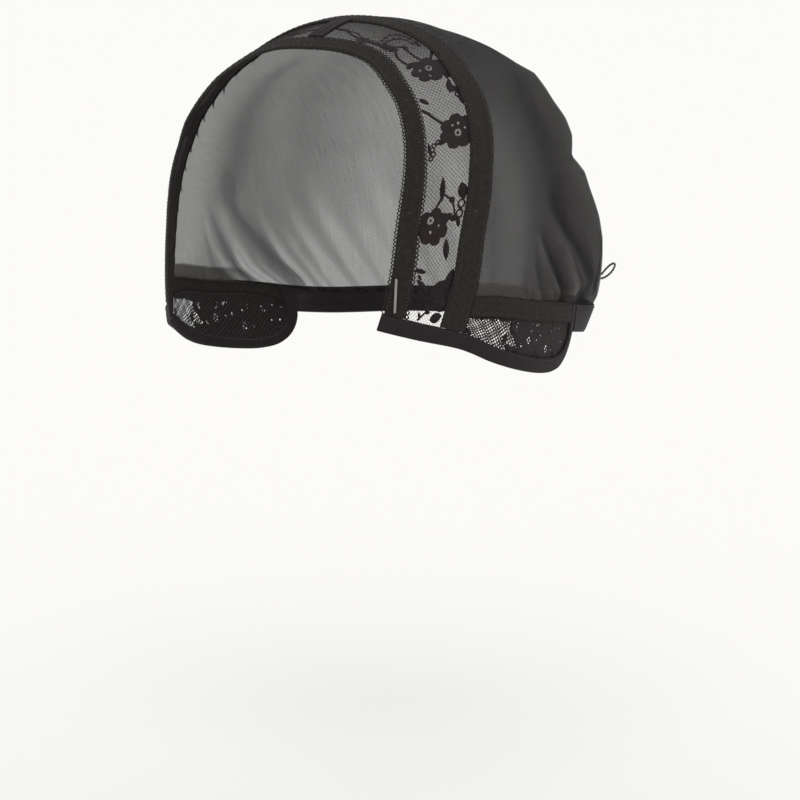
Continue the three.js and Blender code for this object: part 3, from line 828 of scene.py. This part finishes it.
# Twisted polyester thread of the lace's net, dyed black, a little glossier than the knits
NET = thread_finish("lace_net_twisted_thread", ("#1f1b1a", "#2c2726", 1.5), 0.4, 0.04, 0.7, 0.2)
CLOTHWORK = lace_clothwork()
BINDING = satin_binding()
WOVEN = woven_elastic()
# Spun polyester sewing thread, black, with a soft glint on its twist
THREAD = thread_finish("sewing_thread_spun", ("#1f1d1c", "#2f2c2b", 1), 0.3, 0.03, 0.5, 0.3)
# The waxed thread of the loop at the back: glossier, so its upper side catches the light
LOOP_THREAD = thread_finish("loop_thread_waxed", ("#2b2928", "#4c4947", 0.8), 0.3, 0.02, 0.3, 0.5)
STEEL = polished_steel()


# Crown

def openness_of(points, u, v):
    """How open the mesh is, from 0 to 1, on each of its two faces: most where it is stretched
    over the side and the back, least where it hangs slack between them."""
    bearing = np.abs(bearing_of(points))
    drop = -points[..., 2] / CAP_DEPTH
    right = 0.15 * smoothstep(-points[..., 0], 0, 40)
    slack = 0.24 + right + (0.28 - right) * smoothstep(points[..., 1], 40, 88)
    stretched = (1 - smoothstep(bearing, 76, 101)) * smoothstep(drop, 0.1, 0.36)
    top = 0.06 * (1 - smoothstep(drop, 0.1, 0.36)) * (1 - smoothstep(points[..., 1], 0, 60))
    gathers = smoothstep(v, 0.5, 0.95) * (0.2 * np.clip(gathered(foot_bearing_at(u), v), 0, 1) - 0.04)
    openness = slack + (0.26 - right) * stretched + top + gathers + 0.08 * folded(points)
    return np.clip(openness, 0.16, 0.56) * (1 - 0.65 * doubled_foot(points))


def doubled_foot(points):
    """Where the cloth lies double over its lower seam, from 0 to 1."""
    bearing = np.abs(bearing_of(points))
    waist_bearings, waist_drops = zip(*WAIST_EDGE)
    above_waist = np.interp(bearing, waist_bearings, waist_drops) * CAP_DEPTH + points[..., 2]
    return (1 - smoothstep(above_waist, 4, 5.5)) * (1 - smoothstep(bearing, 92, 110))


def painted_shade_and_light_of(points, u, v):
    """Painted shade and light in the cloth's colour: from -1, painted shade in a valley, where the cloth
    shades itself, to 1, a painted highlight on a ridge, and up to 3, painted light where two layers lie
    together and nothing dark shows through."""
    ridge = np.clip(gathered(foot_bearing_at(u), v), 0, 1)
    toward_back = smoothstep(np.abs(bearing_of(points)), 112, 130)
    gathers = smoothstep(v, 0.5, 0.95) * (1.1 * ridge - 0.4) * (0.35 + 0.65 * toward_back)
    # Where the cloth lies double, its colour is lifted as painted light, standing in for the brightness
    # that shows through the mesh elsewhere
    return np.clip(folded(points) + gathers, -1, 1) + 3 * doubled_foot(points)


def make_crown():
    strip = crown_cloth
    bm = flat_grid(0, strip.long, -TUCK, strip.wide + TUCK, 370, 104, CLOTH_RISE)
    bm.verts.index_update()
    x, y, _ = np.array([vert.co for vert in bm.verts]).T
    lay(bm, strip)
    laid = np.array([vert.co for vert in bm.verts]) / MM
    for name, values_of in (("openness", openness_of), ("painted_shade_and_light", painted_shade_and_light_of)):
        layer = bm.verts.layers.float.new(name)
        for vert, value in zip(bm.verts, values_of(laid, x / strip.long, y / strip.wide)):
            vert[layer] = value
    # The mesh's own coordinates: the cloth spread flat from the middle of the crown's back
    middle = unit(np.array([0.0, 0.62, 0.78]))
    side = np.array([1.0, 0.0, 0.0])
    up = np.cross(middle, side)
    toward = unit(laid - BOWL_CENTRE)
    reach = 95 * np.sqrt(2 / (1 + np.maximum(toward @ middle, -0.9)))
    spread = np.stack([toward @ side * reach, toward @ up * reach], axis=-1)
    cloth_uv = bm.loops.layers.uv["cloth"]
    for face in bm.faces:
        for loop in face.loops:
            loop[cloth_uv].uv = spread[loop.vert.index]
    piece = show("crown_mesh_cloth", bm, [POWER_MESH], ["crown"])
    thicken(piece, CLOTH_THICK, 1)


# Bands

def ribbed_band(strip, ribs, past, rise=BAND_RISE, relief=0.03, cells=(300, 44)):
    """A flat ribbon with soft ribs along it and edges that turn down."""
    bm = flat_grid(0, strip.long, -past, strip.wide + past, *cells, rise)
    for vert in bm.verts:
        across = (vert.co.y + past) / (strip.wide + 2 * past)
        rib = math.cos(2 * math.pi * ribs * across)
        edge = abs(2 * across - 1) ** 8
        vert.co.z += relief * rib - 0.35 * edge
    return bm


PICOT_REACH = 0.95


def picot_loop(radius, wire, toward):
    """One small loop of thread that stands out past a band's edge."""
    bm = bmesh.new()
    upright = Matrix.Rotation(math.pi / 2, 4, "X")
    bmesh.ops.create_circle(bm, segments=6, radius=wire, matrix=upright)
    bmesh.ops.translate(bm, vec=(radius, 0, 0), verts=bm.verts)
    bmesh.ops.spin(bm, geom=bm.verts[:] + bm.edges[:], axis=(0, 0, 1), cent=(0, 0, 0),
                   angle=toward * math.pi, steps=6)
    bmesh.ops.scale(bm, vec=(1, 1.3, 1), verts=bm.verts)
    bmesh.ops.recalc_face_normals(bm, faces=bm.faces)
    mesh = bpy.data.meshes.new("picot")
    bm.to_mesh(mesh)
    bm.free()
    return mesh


def picot_row(strip, y, toward, rise, pitch, radius, wire):
    loop = picot_loop(radius, wire, toward)
    row = bmesh.new()
    count = int(strip.long / pitch)
    for k in range(count):
        before = len(row.verts)
        row.from_mesh(loop)
        row.verts.ensure_lookup_table()
        wobble = 0.1 * math.sin(k * 2.4)
        bmesh.ops.translate(row, vec=((k + 0.5) * strip.long / count, y + wobble, rise),
                            verts=row.verts[before:])
    bpy.data.meshes.remove(loop)
    return row


def stitch_row(bm, x0, x1, y, rise, pitch, long, slant=0.0):
    """A row of sewn stitches. A slant makes a zigzag."""
    count = int((x1 - x0) / pitch)
    for k in range(count):
        turn = slant if k % 2 else -slant
        place = Matrix.Translation((x0 + (k + 0.5) * pitch, y, rise))
        shape = Matrix.Diagonal((long / 2, STITCH_RADIUS, STITCH_RADIUS, 1))
        matrix = place @ Matrix.Rotation(turn, 4, "Z") @ shape
        bmesh.ops.create_icosphere(bm, subdivisions=1, radius=1, matrix=matrix)


def sewn(name, strip, rows):
    bm = bmesh.new()
    for row in rows:
        stitch_row(bm, 0.5, strip.long - 0.5, **row)
    lay(bm, strip)
    return show(name, bm, [THREAD])


def zigzag(y, rise=BAND_RISE + 0.05):
    return {"y": y, "rise": rise, "pitch": 1.3, "long": 1.9, "slant": 0.85}


def running(y, rise, pitch=2.6):
    return {"y": y, "rise": rise, "pitch": pitch, "long": pitch * 0.72}


def knitted_band(name, strip, *shape, **cells):
    band = ribbed_band(strip, *shape, **cells)
    lay(band, strip)
    return thicken(show(f"{name}_knit", band, [KNITTED], [name]), BAND_THICK)


def picots(name, strip, *shape):
    row = picot_row(strip, *shape)
    lay(row, strip)
    return show(name, row, [KNITTED])


def make_bands():
    # Loops of thread, with small open eyes, run along both edges of the front band
    front = knitted_band("front_band", front_band, 8, -PICOT_REACH)
    rise, rear_edge = BAND_RISE - 0.45, front_band.wide - PICOT_REACH
    edges = [
        picots("front_band_picots_front", front_band, PICOT_REACH, -1, rise, 1.45, 0.6, 0.2),
        picots("front_band_picots_rear", front_band, rear_edge, 1, rise, 1.6, 0.66, 0.22),
        sewn("front_band_stitches", front_band, [zigzag(front_band.wide - 2.0), zigzag(2.1)]),
    ]

    rear = knitted_band("crown_band", crown_band, 9, 0.35)
    rows = sewn("crown_band_stitches", crown_band, [zigzag(1.3), zigzag(crown_band.wide - 1.3)])
    rear_edge = crown_band.wide + 0.2
    loops = picots("crown_band_picots", crown_band, rear_edge, 1, BAND_RISE - 0.6, 1.6, 0.5, 0.18)

    for side, strip in both_sides(side_left):
        piece = knitted_band(f"side_band_{side}", strip, 6, 0.3, cells=(80, 30))
        rows = sewn(f"side_band_{side}_stitches", strip, [zigzag(1.2), zigzag(strip.wide - 1.1)])


# Lace

def net_grid(strip, pitch, width, past, ends=0.0, turn=45, rise=NET_RISE):
    """A net of diamonds cut to the strip's flat shape, of threads pressed flat."""
    low, high = Vector((-ends, -past)), Vector((strip.long + ends, strip.wide + past))
    side = (high - low).length + 2 * pitch
    cells = math.ceil(side / pitch)
    bm = flat_grid(-side / 2, side / 2, -side / 2, side / 2, cells, cells)
    bmesh.ops.rotate(bm, cent=(0, 0, 0), matrix=Matrix.Rotation(math.radians(turn), 3, "Z"),
                     verts=bm.verts)
    bmesh.ops.translate(bm, vec=((low.x + high.x) / 2, (low.y + high.y) / 2, 0), verts=bm.verts)
    for corner, outward in ((low, (-1, 0, 0)), (low, (0, -1, 0)), (high, (1, 0, 0)), (high, (0, 1, 0))):
        bmesh.ops.bisect_plane(bm, geom=bm.verts[:] + bm.edges[:] + bm.faces[:],
                               dist=MERGE_WITHIN, plane_co=(corner.x, corner.y, 0),
                               plane_no=outward, clear_outer=True)
    bmesh.ops.wireframe(bm, faces=bm.faces[:], thickness=width, offset=0, use_replace=True,
                        use_boundary=True, use_even_offset=False)
    bmesh.ops.scale(bm, vec=(1, 1, NET_THREAD_HEIGHT / width), verts=bm.verts)
    bmesh.ops.translate(bm, vec=(0, 0, rise), verts=bm.verts)
    return bm


def petal(bm, x, y, long, wide, turn, rise, corners=14, pointed=0.0):
    """One oval of clothwork along its turn. At 1 both its ends are sharp points."""
    made = bmesh.ops.create_circle(bm, cap_ends=True, segments=corners, radius=1)["verts"]
    for vert in made:
        vert.co.y *= abs(vert.co.y) ** pointed
    place = Matrix.Translation((x, y, rise)) @ Matrix.Rotation(turn, 4, "Z")
    bmesh.ops.transform(bm, matrix=place @ Matrix.Diagonal((long / 2, wide / 2, 1, 1)), verts=made)


def leaf(bm, x, y, long, wide, turn, rise=MOTIF_RISE):
    """A pointed leaf with a raised rib."""
    petal(bm, x, y, long * 1.1, wide, math.radians(turn), rise, 20, 0.8)
    petal(bm, x, y, long * 1.2, wide * 0.25, math.radians(turn), rise + 0.03, 12, 0.5)


def cord_of(bm, points, width, rise=MOTIF_RISE):
    """A flat cord laid along a smooth run of points."""
    points = np.array(points, float)
    count = max(5 * (len(points) - 1), 8)
    line = softened(points, count, 3)
    run = unit(np.gradient(line, axis=0))
    made = bmesh.ops.create_grid(bm, x_segments=count, y_segments=1, size=0.5)["verts"]
    for vert in made:
        k = round((vert.co.x + 0.5) * count)
        side = vert.co.y * width
        vert.co = (line[k][0] - run[k][1] * side, line[k][1] + run[k][0] * side, rise)


def ring_of(bm, x, y, radius, width, rise=MOTIF_RISE, turns=16):
    """A flat ring: two circles bridged."""
    edges = []
    for reach in (radius - width / 2, radius + width / 2):
        made = bmesh.ops.create_circle(bm, segments=turns, radius=reach,
                                       matrix=Matrix.Translation((x, y, rise)))["verts"]
        edges += {edge for vert in made for edge in vert.link_edges}
    bmesh.ops.bridge_loops(bm, edges=edges)


def bloom(bm, x, y, long, wide, petals, turn=0.0, eye=(0.0, 0.0), eye_radius=1.5, holes=()):
    """A flower with a lobed outline. It is open in a ring round its eye and at small holes, each
    given by its place and radius."""
    made = bmesh.ops.create_grid(bm, x_segments=72, y_segments=18, size=0.5)["verts"]
    for vert in made:
        angle = 2 * math.pi * vert.co.x
        share = vert.co.y + 0.5
        lobe = 1 - 0.2 * (1 - abs(math.cos(petals * (angle - turn) / 2))) ** 1.6
        crease = 0.09 * share * abs(math.cos(petals * (angle - turn) / 2))
        reach = share * lobe / 2
        vert.co = (x + reach * long * math.cos(angle), y + reach * wide * math.sin(angle),
                   MOTIF_RISE + crease)
    open_rings = [(x + eye[0], y + eye[1], 0.42 * eye_radius, eye_radius)]
    open_rings += [(hole_x, hole_y, 0.0, radius) for hole_x, hole_y, radius in holes]
    cut = []
    for face in {face for vert in made for face in vert.link_faces}:
        middle = face.calc_center_median()
        for ring_x, ring_y, inner, outer in open_rings:
            if inner <= math.hypot(middle.x - ring_x, middle.y - ring_y) < outer:
                cut.append(face)
                break
    bmesh.ops.delete(bm, geom=cut, context="FACES")
    left = [vert for vert in made if vert.is_valid]
    bmesh.ops.remove_doubles(bm, verts=left, dist=MERGE_WITHIN)


def beads(bm, points, radius, width):
    """A chain of small rings, the beaded line of the lace's border."""
    for x, y in points:
        ring_of(bm, x, y, radius, width, turns=10)


def strip_motifs(bm):
    """The floral repeat of the lace strip, from the middle of the cap down to the tab."""
    # Beside the seam: a leafy vine with a ring flower, and a double arch
    leaf(bm, 5.8, 8.8, 6.0, 2.2, -8)
    cord_of(bm, [(2.6, 9.4), (8.2, 7.8), (12.1, 5.0), (16.2, 3.4), (20.6, 2.6), (25.3, 3.1),
                 (30.6, 2.9)], 1.0)
    cord_of(bm, [(8.2, 7.8), (12.8, 7.4), (16.0, 5.0), (18.0, 3.2)], 0.7)
    bloom(bm, 18.8, 2.9, 5.6, 5.0, 6, 0.3, eye_radius=0.9)
    beads(bm, [(21.8 + 1.9 * k, 3.6 + 0.5 * (k % 2)) for k in range(6)], 0.75, 0.7)
    double_arch = (
        [(24.4, 6.4), (23.4, 9.6), (22.9, 12.6), (23.7, 14.9), (25.4, 16.2), (28.5, 16.7), (31.5, 17.2)],
        [(26.2, 5.6), (25.9, 8.4), (26.1, 11.2), (27.0, 13.4), (29.2, 14.8), (31.8, 14.9), (33.4, 16.0)],
    )
    for arch in double_arch:
        cord_of(bm, arch, 0.6)
        beads(bm, arch, 0.5, 0.5)
    beads(bm, [(33.6, 16.2), (32.2, 16.6)], 0.7, 0.7)
    leaf(bm, 29.8, 5.0, 6.0, 3.6, 25)
    leaf(bm, 27.2, 4.6, 4.0, 2.4, 100)
    cord_of(bm, [(28.6, 4.0), (30.9, 7.0), (32.3, 10.4), (34.7, 9.4), (37.9, 9.4), (40.3, 10.1),
                 (42.4, 11.6)], 1.15)
    leaf(bm, 33.0, 9.8, 3.6, 2.2, -30)
    cord_of(bm, [(31.5, 6.3), (34.0, 4.0), (35.9, 3.1), (38.8, 3.3), (42.2, 4.6)], 1.1)
    cord_of(bm, [(44.0, 13.4), (42.2, 15.2), (40.6, 16.8), (39.0, 18.4)], 1.0)
    # First flower
    bloom(bm, 46.9, 11.3, 12.0, 16.0, 7, 0.2, (-0.7, 0.2), 1.5,
          [(46.2, 7.4, 0.6), (49.9, 10.2, 0.5)])
    leaf(bm, 51.0, 17.4, 5.0, 3.4, 60)
    leaf(bm, 42.4, 5.2, 4.6, 2.6, -70)
    cord_of(bm, [(51.0, 16.2), (54.6, 16.9), (59.4, 15.6)], 0.8)
    leaf(bm, 56.6, 15.4, 5.6, 2.8, -20)
    leaf(bm, 58.8, 17.6, 4.4, 2.4, 15)
    beads(bm, [(60.6, 17.0), (62.4, 18.0)], 0.9, 0.7)
    leaf(bm, 63.2, 17.8, 4.4, 1.6, 25)
    leaf(bm, 60.0, 2.4, 4.4, 1.9, 40)
    cord_of(bm, [(63.4, 0.4), (65.6, 2.4), (68.2, 4.4), (71.5, 7.6)], 1.1)
    # Second flower
    bloom(bm, 75.3, 13.3, 14.0, 15.8, 7, 0.5, (0.6, 0.0), 1.5,
          [(72.6, 11.2, 0.5), (72.3, 13.9, 0.6), (74.5, 16.6, 0.5)])
    leaf(bm, 78.2, 6.6, 4.6, 2.6, 110)
    beads(bm, [(78.2, 4.6), (79.2, 2.9), (80.8, 2.2), (82.6, 2.6), (84.2, 1.6)], 0.85, 0.6)
    leaf(bm, 80.4, 1.0, 5.0, 1.3, 5)
    # The long leaf and its branch, then the third flower
    leaf(bm, 96.8, 7.1, 8.6, 2.4, 3)
    cord_of(bm, [(99.6, 7.1), (101.8, 6.3), (103.6, 5.2), (106, 4.4)], 0.9)
    cord_of(bm, [(98.6, 7.6), (100.0, 9.8), (101.5, 12.0), (104.4, 13.4), (107.9, 14.4)], 0.8)
    petal(bm, 101.2, 11.8, 3.0, 2.3, 0.9, MOTIF_RISE + 0.02)
    leaf(bm, 98.2, 16.3, 6.0, 4.6, 20)
    beads(bm, [(102.8, 16.4), (106.4, 16.2)], 1.5, 0.8)
    leaf(bm, 107.9, 14.0, 4.0, 2.6, 100)
    leaf(bm, 109.6, 16.4, 3.4, 2.0, 20)
    bloom(bm, 111.0, 5.0, 14.6, 14.2, 7, 0.35, (-2.5, -1.4), 1.5,
          [(112.9, 4.3, 0.6), (110.4, 7.6, 0.5)])
    leaf(bm, 107.6, 10.6, 5.0, 3.0, 120)
    leaf(bm, 119.4, 12.7, 7.4, 2.9, 10)
    # Toward the tab: small leaves, the big leaf by the rear band, and a sprig
    leaf(bm, 128.0, 1.9, 5.2, 2.0, 86)
    leaf(bm, 130.4, 2.0, 2.6, 1.4, 40)
    leaf(bm, 133.4, 3.9, 7.0, 2.2, 57)
    leaf(bm, 134.0, 13.2, 11.0, 6.4, 115)
    leaf(bm, 130.4, 16.6, 8.0, 4.2, 165)
    leaf(bm, 139.6, 15.2, 8.0, 5.4, 80)
    leaf(bm, 144.6, 14.6, 6.0, 4.0, 110)
    cord_of(bm, [(147.0, 4.8), (143.8, 7.9), (141.2, 9.9), (139.6, 12.4)], 0.8)
    for x, y, turn in ((145.0, 5.4, 30), (143.2, 9.4, 100), (141.6, 8.4, 20), (140.2, 11.2, 150)):
        leaf(bm, x, y, 2.8, 1.5, turn)


def lobe_motifs(bm):
    """The gathered end of the lace over each ear: flowers and leaves close together."""
    draw = random.Random(11)
    wide, long = nape_left.wide, nape_left.long
    for k in range(12):
        leaf(bm, 1.5 + 2.2 * k, 0.4 + 0.5 * (k % 2), 3.4, 2.2, 25 * (k % 3))
    leaf(bm, 2.0, 10.6, 5.0, 2.4, 60)
    leaf(bm, 20.5, 8.6, 4.6, 2.4, 110)
    leaf(bm, 23.4, 11.6, 5.0, 3.0, 30)
    leaf(bm, 24.4, 4.0, 6.0, 3.6, 70)
    bloom(bm, 34.0, 6.6, 17.0, 15.0, 7, 0.4, (1.6, 0.6), 1.5, [(30.4, 9.4, 0.7), (37.5, 3.6, 0.6)])
    bloom(bm, 49.0, 6.8, 17.0, 16.0, 7, 0.9, (1.4, 2.8), 1.3, [(45.0, 5.6, 0.7), (52.0, 4.0, 0.6)])
    bloom(bm, 63.5, 6.4, 17.0, 16.0, 7, 0.1, (1.0, -2.6), 1.1, [(66.0, 9.0, 0.6)])
    bloom(bm, 74.5, 6.4, 11.0, 15.0, 6, 0.1, eye_radius=0.9)
    for edge_y in (0.2, wide - 0.2):
        for k in range(24):
            x = 26.5 + (long - 26.0) * k / 23
            leaf(bm, x, edge_y + draw.uniform(-0.4, 0.4), 5.0, 3.0, draw.uniform(-30, 30),
                 MOTIF_RISE + draw.uniform(-0.05, 0.02))


def draw_clothwork(bm, strip, motifs):
    """Draws motifs, cuts off what runs past the strip's edges, and gives them their thickness."""
    drawn = bmesh.new()
    motifs(drawn)
    for edge_y, outward in ((-TUCK, -1), (strip.wide + TUCK, 1)):
        bmesh.ops.bisect_plane(drawn, geom=drawn.verts[:] + drawn.edges[:] + drawn.faces[:],
                               dist=MERGE_WITHIN, plane_co=(0, edge_y, 0), plane_no=(0, outward, 0),
                               clear_outer=True)
    cut = bpy.data.meshes.new("clothwork")
    drawn.to_mesh(cut)
    drawn.free()
    net = set(bm.faces)
    bm.from_mesh(cut)
    bpy.data.meshes.remove(cut)
    clothwork = [face for face in bm.faces if face not in net]
    for face in clothwork:
        face.normal_update()
    turned = [face for face in clothwork if face.normal.z < 0]
    bmesh.ops.reverse_faces(bm, faces=turned)
    bmesh.ops.solidify(bm, geom=clothwork, thickness=CLOTHWORK_THICK)
    for face in bm.faces:
        face.material_index = 0 if face in net else 1


def net_piece(name, strip, pitch, width, ends=0.0, turn=45, rise=NET_RISE, motifs=None, nodes=()):
    bm = net_grid(strip, pitch, width, TUCK, ends, turn, rise)
    if motifs:
        draw_clothwork(bm, strip, motifs)
    lay(bm, strip)
    return show(name, bm, [NET, CLOTHWORK], nodes)


def make_lace():
    for side, strip in both_sides(lace_left):
        piece = net_piece(f"lace_{side}", strip, 1.2, 0.19, ends=0.15, motifs=strip_motifs,
                          nodes=[f"lace_strip_{side}"])


# Bindings, seam tape and strap

def folded_binding(strip, steps, height, around=20, past=0.0):
    """A binding folded over an edge: a flat tube with rounded sides."""
    bm = flat_grid(0, strip.long, 0, 1, steps, around)
    for vert in bm.verts:
        angle = 2 * math.pi * vert.co.y
        across = math.copysign(abs(math.cos(angle)) ** 0.35, math.cos(angle))
        up = math.copysign(abs(math.sin(angle)) ** 0.6, math.sin(angle))
        pucker = 0.012 * math.sin(vert.co.x * 2 * math.pi / 5.3) * max(up, 0)
        vert.co.y = strip.wide / 2 - across * (strip.wide / 2 + past)
        vert.co.z = height / 2 * (1 + up) + pucker
    bmesh.ops.remove_doubles(bm, verts=bm.verts, dist=MERGE_WITHIN)
    rims = [edge for edge in bm.edges if edge.is_boundary]
    bmesh.ops.holes_fill(bm, edges=rims, sides=0)
    return bm


# The lace over each ear is cut to a half round. Its gathered threads lie close,
# in millimetres
LOBE_PITCH = 1.25
LOBE_THREAD = 0.62
LOBE_FOLD_TURN = 58


def make_hems_and_lobes():
    for side, strip in both_sides(hem_left):
        bm = folded_binding(strip, 220, 1.5, past=0.15)
        lay(bm, strip)
        bmesh.ops.recalc_face_normals(bm, faces=bm.faces)
        hem = show(f"hem_{side}_binding", bm, [BINDING], [f"hem_{side}"])
        rows = sewn(f"hem_{side}_stitches", strip, [running(0.9, 1.55)])
        lobe = nape_left if side == "left" else nape_left.mirrored()
        net = net_piece(f"nape_lace_{side}_net", lobe, LOBE_PITCH, LOBE_THREAD,
                        nodes=[f"nape_lace_{side}"])
        bm = bmesh.new()
        draw_clothwork(bm, lobe, lobe_motifs)
        lay(bm, lobe)
        flowers = show(f"nape_lace_{side}_flowers", bm, [NET, CLOTHWORK])
        # The lace's end is folded back under itself, so the net lies double
        under = net_piece(f"nape_lace_{side}_fold", lobe, LOBE_PITCH, LOBE_THREAD,
                          turn=LOBE_FOLD_TURN, rise=-0.12)


def make_seam_tape():
    strip = seam_tape
    bm = flat_grid(0.7, strip.long - 0.7, -0.2, strip.wide + 0.2, 24, 40, BAND_RISE + 0.25)
    for vert in bm.verts:
        across = 2 * vert.co.x / strip.long - 1
        vert.co.z += 0.12 * math.cos(3 * math.pi * across) - 0.35 * abs(across) ** 6
    lay(bm, strip)
    piece = show("centre_seam_tape", bm, [BINDING], ["centre_seam"])
    thicken(piece, TAPE_THICK)
    bm = bmesh.new()
    for x in (1.6, strip.long - 1.6):
        made_before = len(bm.verts)
        stitch_row(bm, 0, strip.wide, 0, BAND_RISE + 0.3, 2.2, 1.6)
        bm.verts.ensure_lookup_table()
        row = bm.verts[made_before:]
        bmesh.ops.rotate(bm, cent=(0, 0, 0), matrix=Matrix.Rotation(math.pi / 2, 3, "Z"), verts=row)
        bmesh.ops.translate(bm, vec=(x, 0, 0), verts=row)
    lay(bm, strip)
    rows = show("centre_seam_stitches", bm, [THREAD])


def make_strap():
    bm = ribbed_band(strap, 10, 0.0, rise=STRAP_RISE, relief=0.07, cells=(220, 60))
    lay(bm, strap)
    piece = thicken(show("nape_strap_elastic", bm, [WOVEN], ["nape_strap"]), STRAP_THICK)
    rows = sewn("nape_strap_stitches", strap, [running(1.2, 1.4, 2.2)])


# Thread loop and pin

def tube_along(points, radius, sides=10):
    """A round thread swept along smooth points, closed at both ends."""
    points = np.array(points, float)
    count = len(points) - 1
    bm = bmesh.new()
    bmesh.ops.create_grid(bm, x_segments=count, y_segments=sides, size=0.5)
    run = unit(np.gradient(points, axis=0))
    side = unit(np.cross(run, np.array([0.3, 0.2, 1.0])))
    up = np.cross(side, run)
    for vert in bm.verts:
        k = round((vert.co.x + 0.5) * count)
        angle = 2 * math.pi * (vert.co.y + 0.5)
        vert.co = points[k] + radius * (math.cos(angle) * side[k] + math.sin(angle) * up[k])
    bmesh.ops.remove_doubles(bm, verts=bm.verts, dist=1e-7)
    bmesh.ops.holes_fill(bm, edges=[edge for edge in bm.edges if edge.is_boundary], sides=0)
    bmesh.ops.recalc_face_normals(bm, faces=bm.faces)
    return bm


def make_loop():
    """The loop of thread that stands off the back, of two plies wound round each other; the whipping of
    its two ends to the cloth is not drawn.
    """
    low, high = (np.array(corner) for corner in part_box("thread_loop"))
    foot = raised(side_point(LOOP_BEARING, LOOP_DROP), BAG_DEPTH + 0.6)
    out = normal_at(foot)
    up = unit(np.array([0, 0, 1]) - out * out[2])
    run = [(-0.12, -0.3), (0.1, -0.6), (0.35, -0.74), (0.66, -0.62), (0.84, 0.0), (0.68, 0.62),
           (0.38, 0.76), (0.1, 0.6), (-0.12, 0.3)]
    path = np.array([
        foot + out * away * LOOP_LENGTH + up * (away * LOOP_LENGTH + rise * LOOP_WIDTH)
        for away, rise in run
    ])
    smooth = softened(path, 59, 8)
    drift = (low + high) / 2 / MM - (smooth.min(0) + smooth.max(0)) / 2
    smooth = (smooth + drift) * MM
    phase = np.linspace(0, 16 * math.pi, len(smooth))
    side = unit(np.cross(np.gradient(smooth, axis=0), np.array([0.3, 0.2, 1.0])))
    up_there = unit(np.cross(side, np.gradient(smooth, axis=0)))
    for k, turn in enumerate((0, math.pi)):
        wound = smooth + 0.2 * MM * (np.cos(phase + turn)[:, None] * side
                                    + np.sin(phase + turn)[:, None] * up_there)
        show(f"thread_loop_ply_{k + 1}", tube_along(wound, 0.3 * MM), [LOOP_THREAD],
             ["thread_loop"] if k == 0 else ())


def make_pin():
    """The slim steel bar on the left tab, with rounded ends."""
    low, high = (np.array(corner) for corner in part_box("tab_pin"))
    foot, head = (
        resample(to_hem(beside_opening(lambda along: to_lace(along) * across)), 200)[::-1]
        for across in (PIN_FOOT_ACROSS, PIN_HEAD_ACROSS)
    )
    step_foot = float(length(foot[1] - foot[0])[0])
    step_head = float(length(head[1] - head[0])[0])
    start = foot[round(PIN_ABOVE_HEM / step_foot)]
    end = head[round((PIN_ABOVE_HEM + PIN_LENGTH) / step_head)]
    run = Vector(end - start).normalized()
    bm = bmesh.new()
    shank = PIN_LENGTH - PIN_DIAMETER
    bmesh.ops.create_uvsphere(bm, u_segments=20, v_segments=12, radius=PIN_DIAMETER / 2)
    for vert in bm.verts:
        vert.co.z += math.copysign(shank / 2, vert.co.z) if abs(vert.co.z) > 1e-6 else 0
    middle = Vector((low + high) / 2 / MM)
    turn = Vector((0, 0, 1)).rotation_difference(run).to_matrix().to_4x4()
    place = Matrix.Scale(MM, 4) @ Matrix.Translation(middle) @ turn
    bmesh.ops.transform(bm, matrix=place, verts=bm.verts)
    show("tab_pin_bar", bm, [STEEL], ["tab_pin"])


make_crown()
make_bands()
make_lace()
make_hems_and_lobes()
make_seam_tape()
make_strap()
make_loop()
make_pin()


# Stage, light and camera

FLOOR_DROP = 0.32
FLOOR_RADIUS = 60
SKY_STRENGTH = 0.9
KEY_TOWARD = (-0.5, 0.75, -1.0)
KEY_STRENGTH = 0.75
KEY_SPREAD = 40
CAMERA_PLACE = (0.6067, -0.9498, 0.0150)
CAMERA_TOWARD = (-0.5243, 0.8390, -0.1454)
CAMERA_LENS = 129.06


def make_floor():
    bm = bmesh.new()
    bmesh.ops.create_circle(bm, cap_ends=True, segments=96, radius=FLOOR_RADIUS,
                            matrix=Matrix.Translation((0, 0, -FLOOR_DROP)))
    mesh = bpy.data.meshes.new("floor")
    bm.to_mesh(mesh)
    bm.free()
    mesh.materials.append(matte_paper("backdrop_paper", "#f4f3f1"))
    floor = bpy.data.objects.new("floor", mesh)
    bpy.context.scene.collection.objects.link(floor)


def softbox(name, toward, strength, spread):
    """Even light from far off, as from a wide softbox, so the whole floor is lit alike."""
    light = bpy.data.lights.new(name, "SUN")
    light.energy = strength
    light.angle = math.radians(spread)
    lamp = bpy.data.objects.new(name, light)
    lamp.rotation_euler = Vector(toward).to_track_quat("-Z", "Y").to_euler()
    bpy.context.scene.collection.objects.link(lamp)


def white_room():
    world = bpy.data.worlds.new("white_room")
    world.use_nodes = True
    tree = world.node_tree
    tree.nodes.clear()
    sky = add(tree, "ShaderNodeBackground", {"Color": (1, 1, 1, 1), "Strength": SKY_STRENGTH})
    add(tree, "ShaderNodeOutputWorld", {"Surface": sky.outputs["Background"]})
    bpy.context.scene.world = world


def make_camera():
    camera = bpy.data.cameras.new("camera")
    camera.sensor_width = 36
    camera.lens = CAMERA_LENS
    camera.clip_start = 0.05
    eye = bpy.data.objects.new("camera", camera)
    eye.location = CAMERA_PLACE
    eye.rotation_euler = Vector(CAMERA_TOWARD).to_track_quat("-Z", "Y").to_euler()
    bpy.context.scene.collection.objects.link(eye)
    bpy.context.scene.camera = eye


make_floor()
softbox("key", KEY_TOWARD, KEY_STRENGTH, KEY_SPREAD)
white_room()
make_camera()
bpy.context.scene.view_settings.view_transform = "Standard"
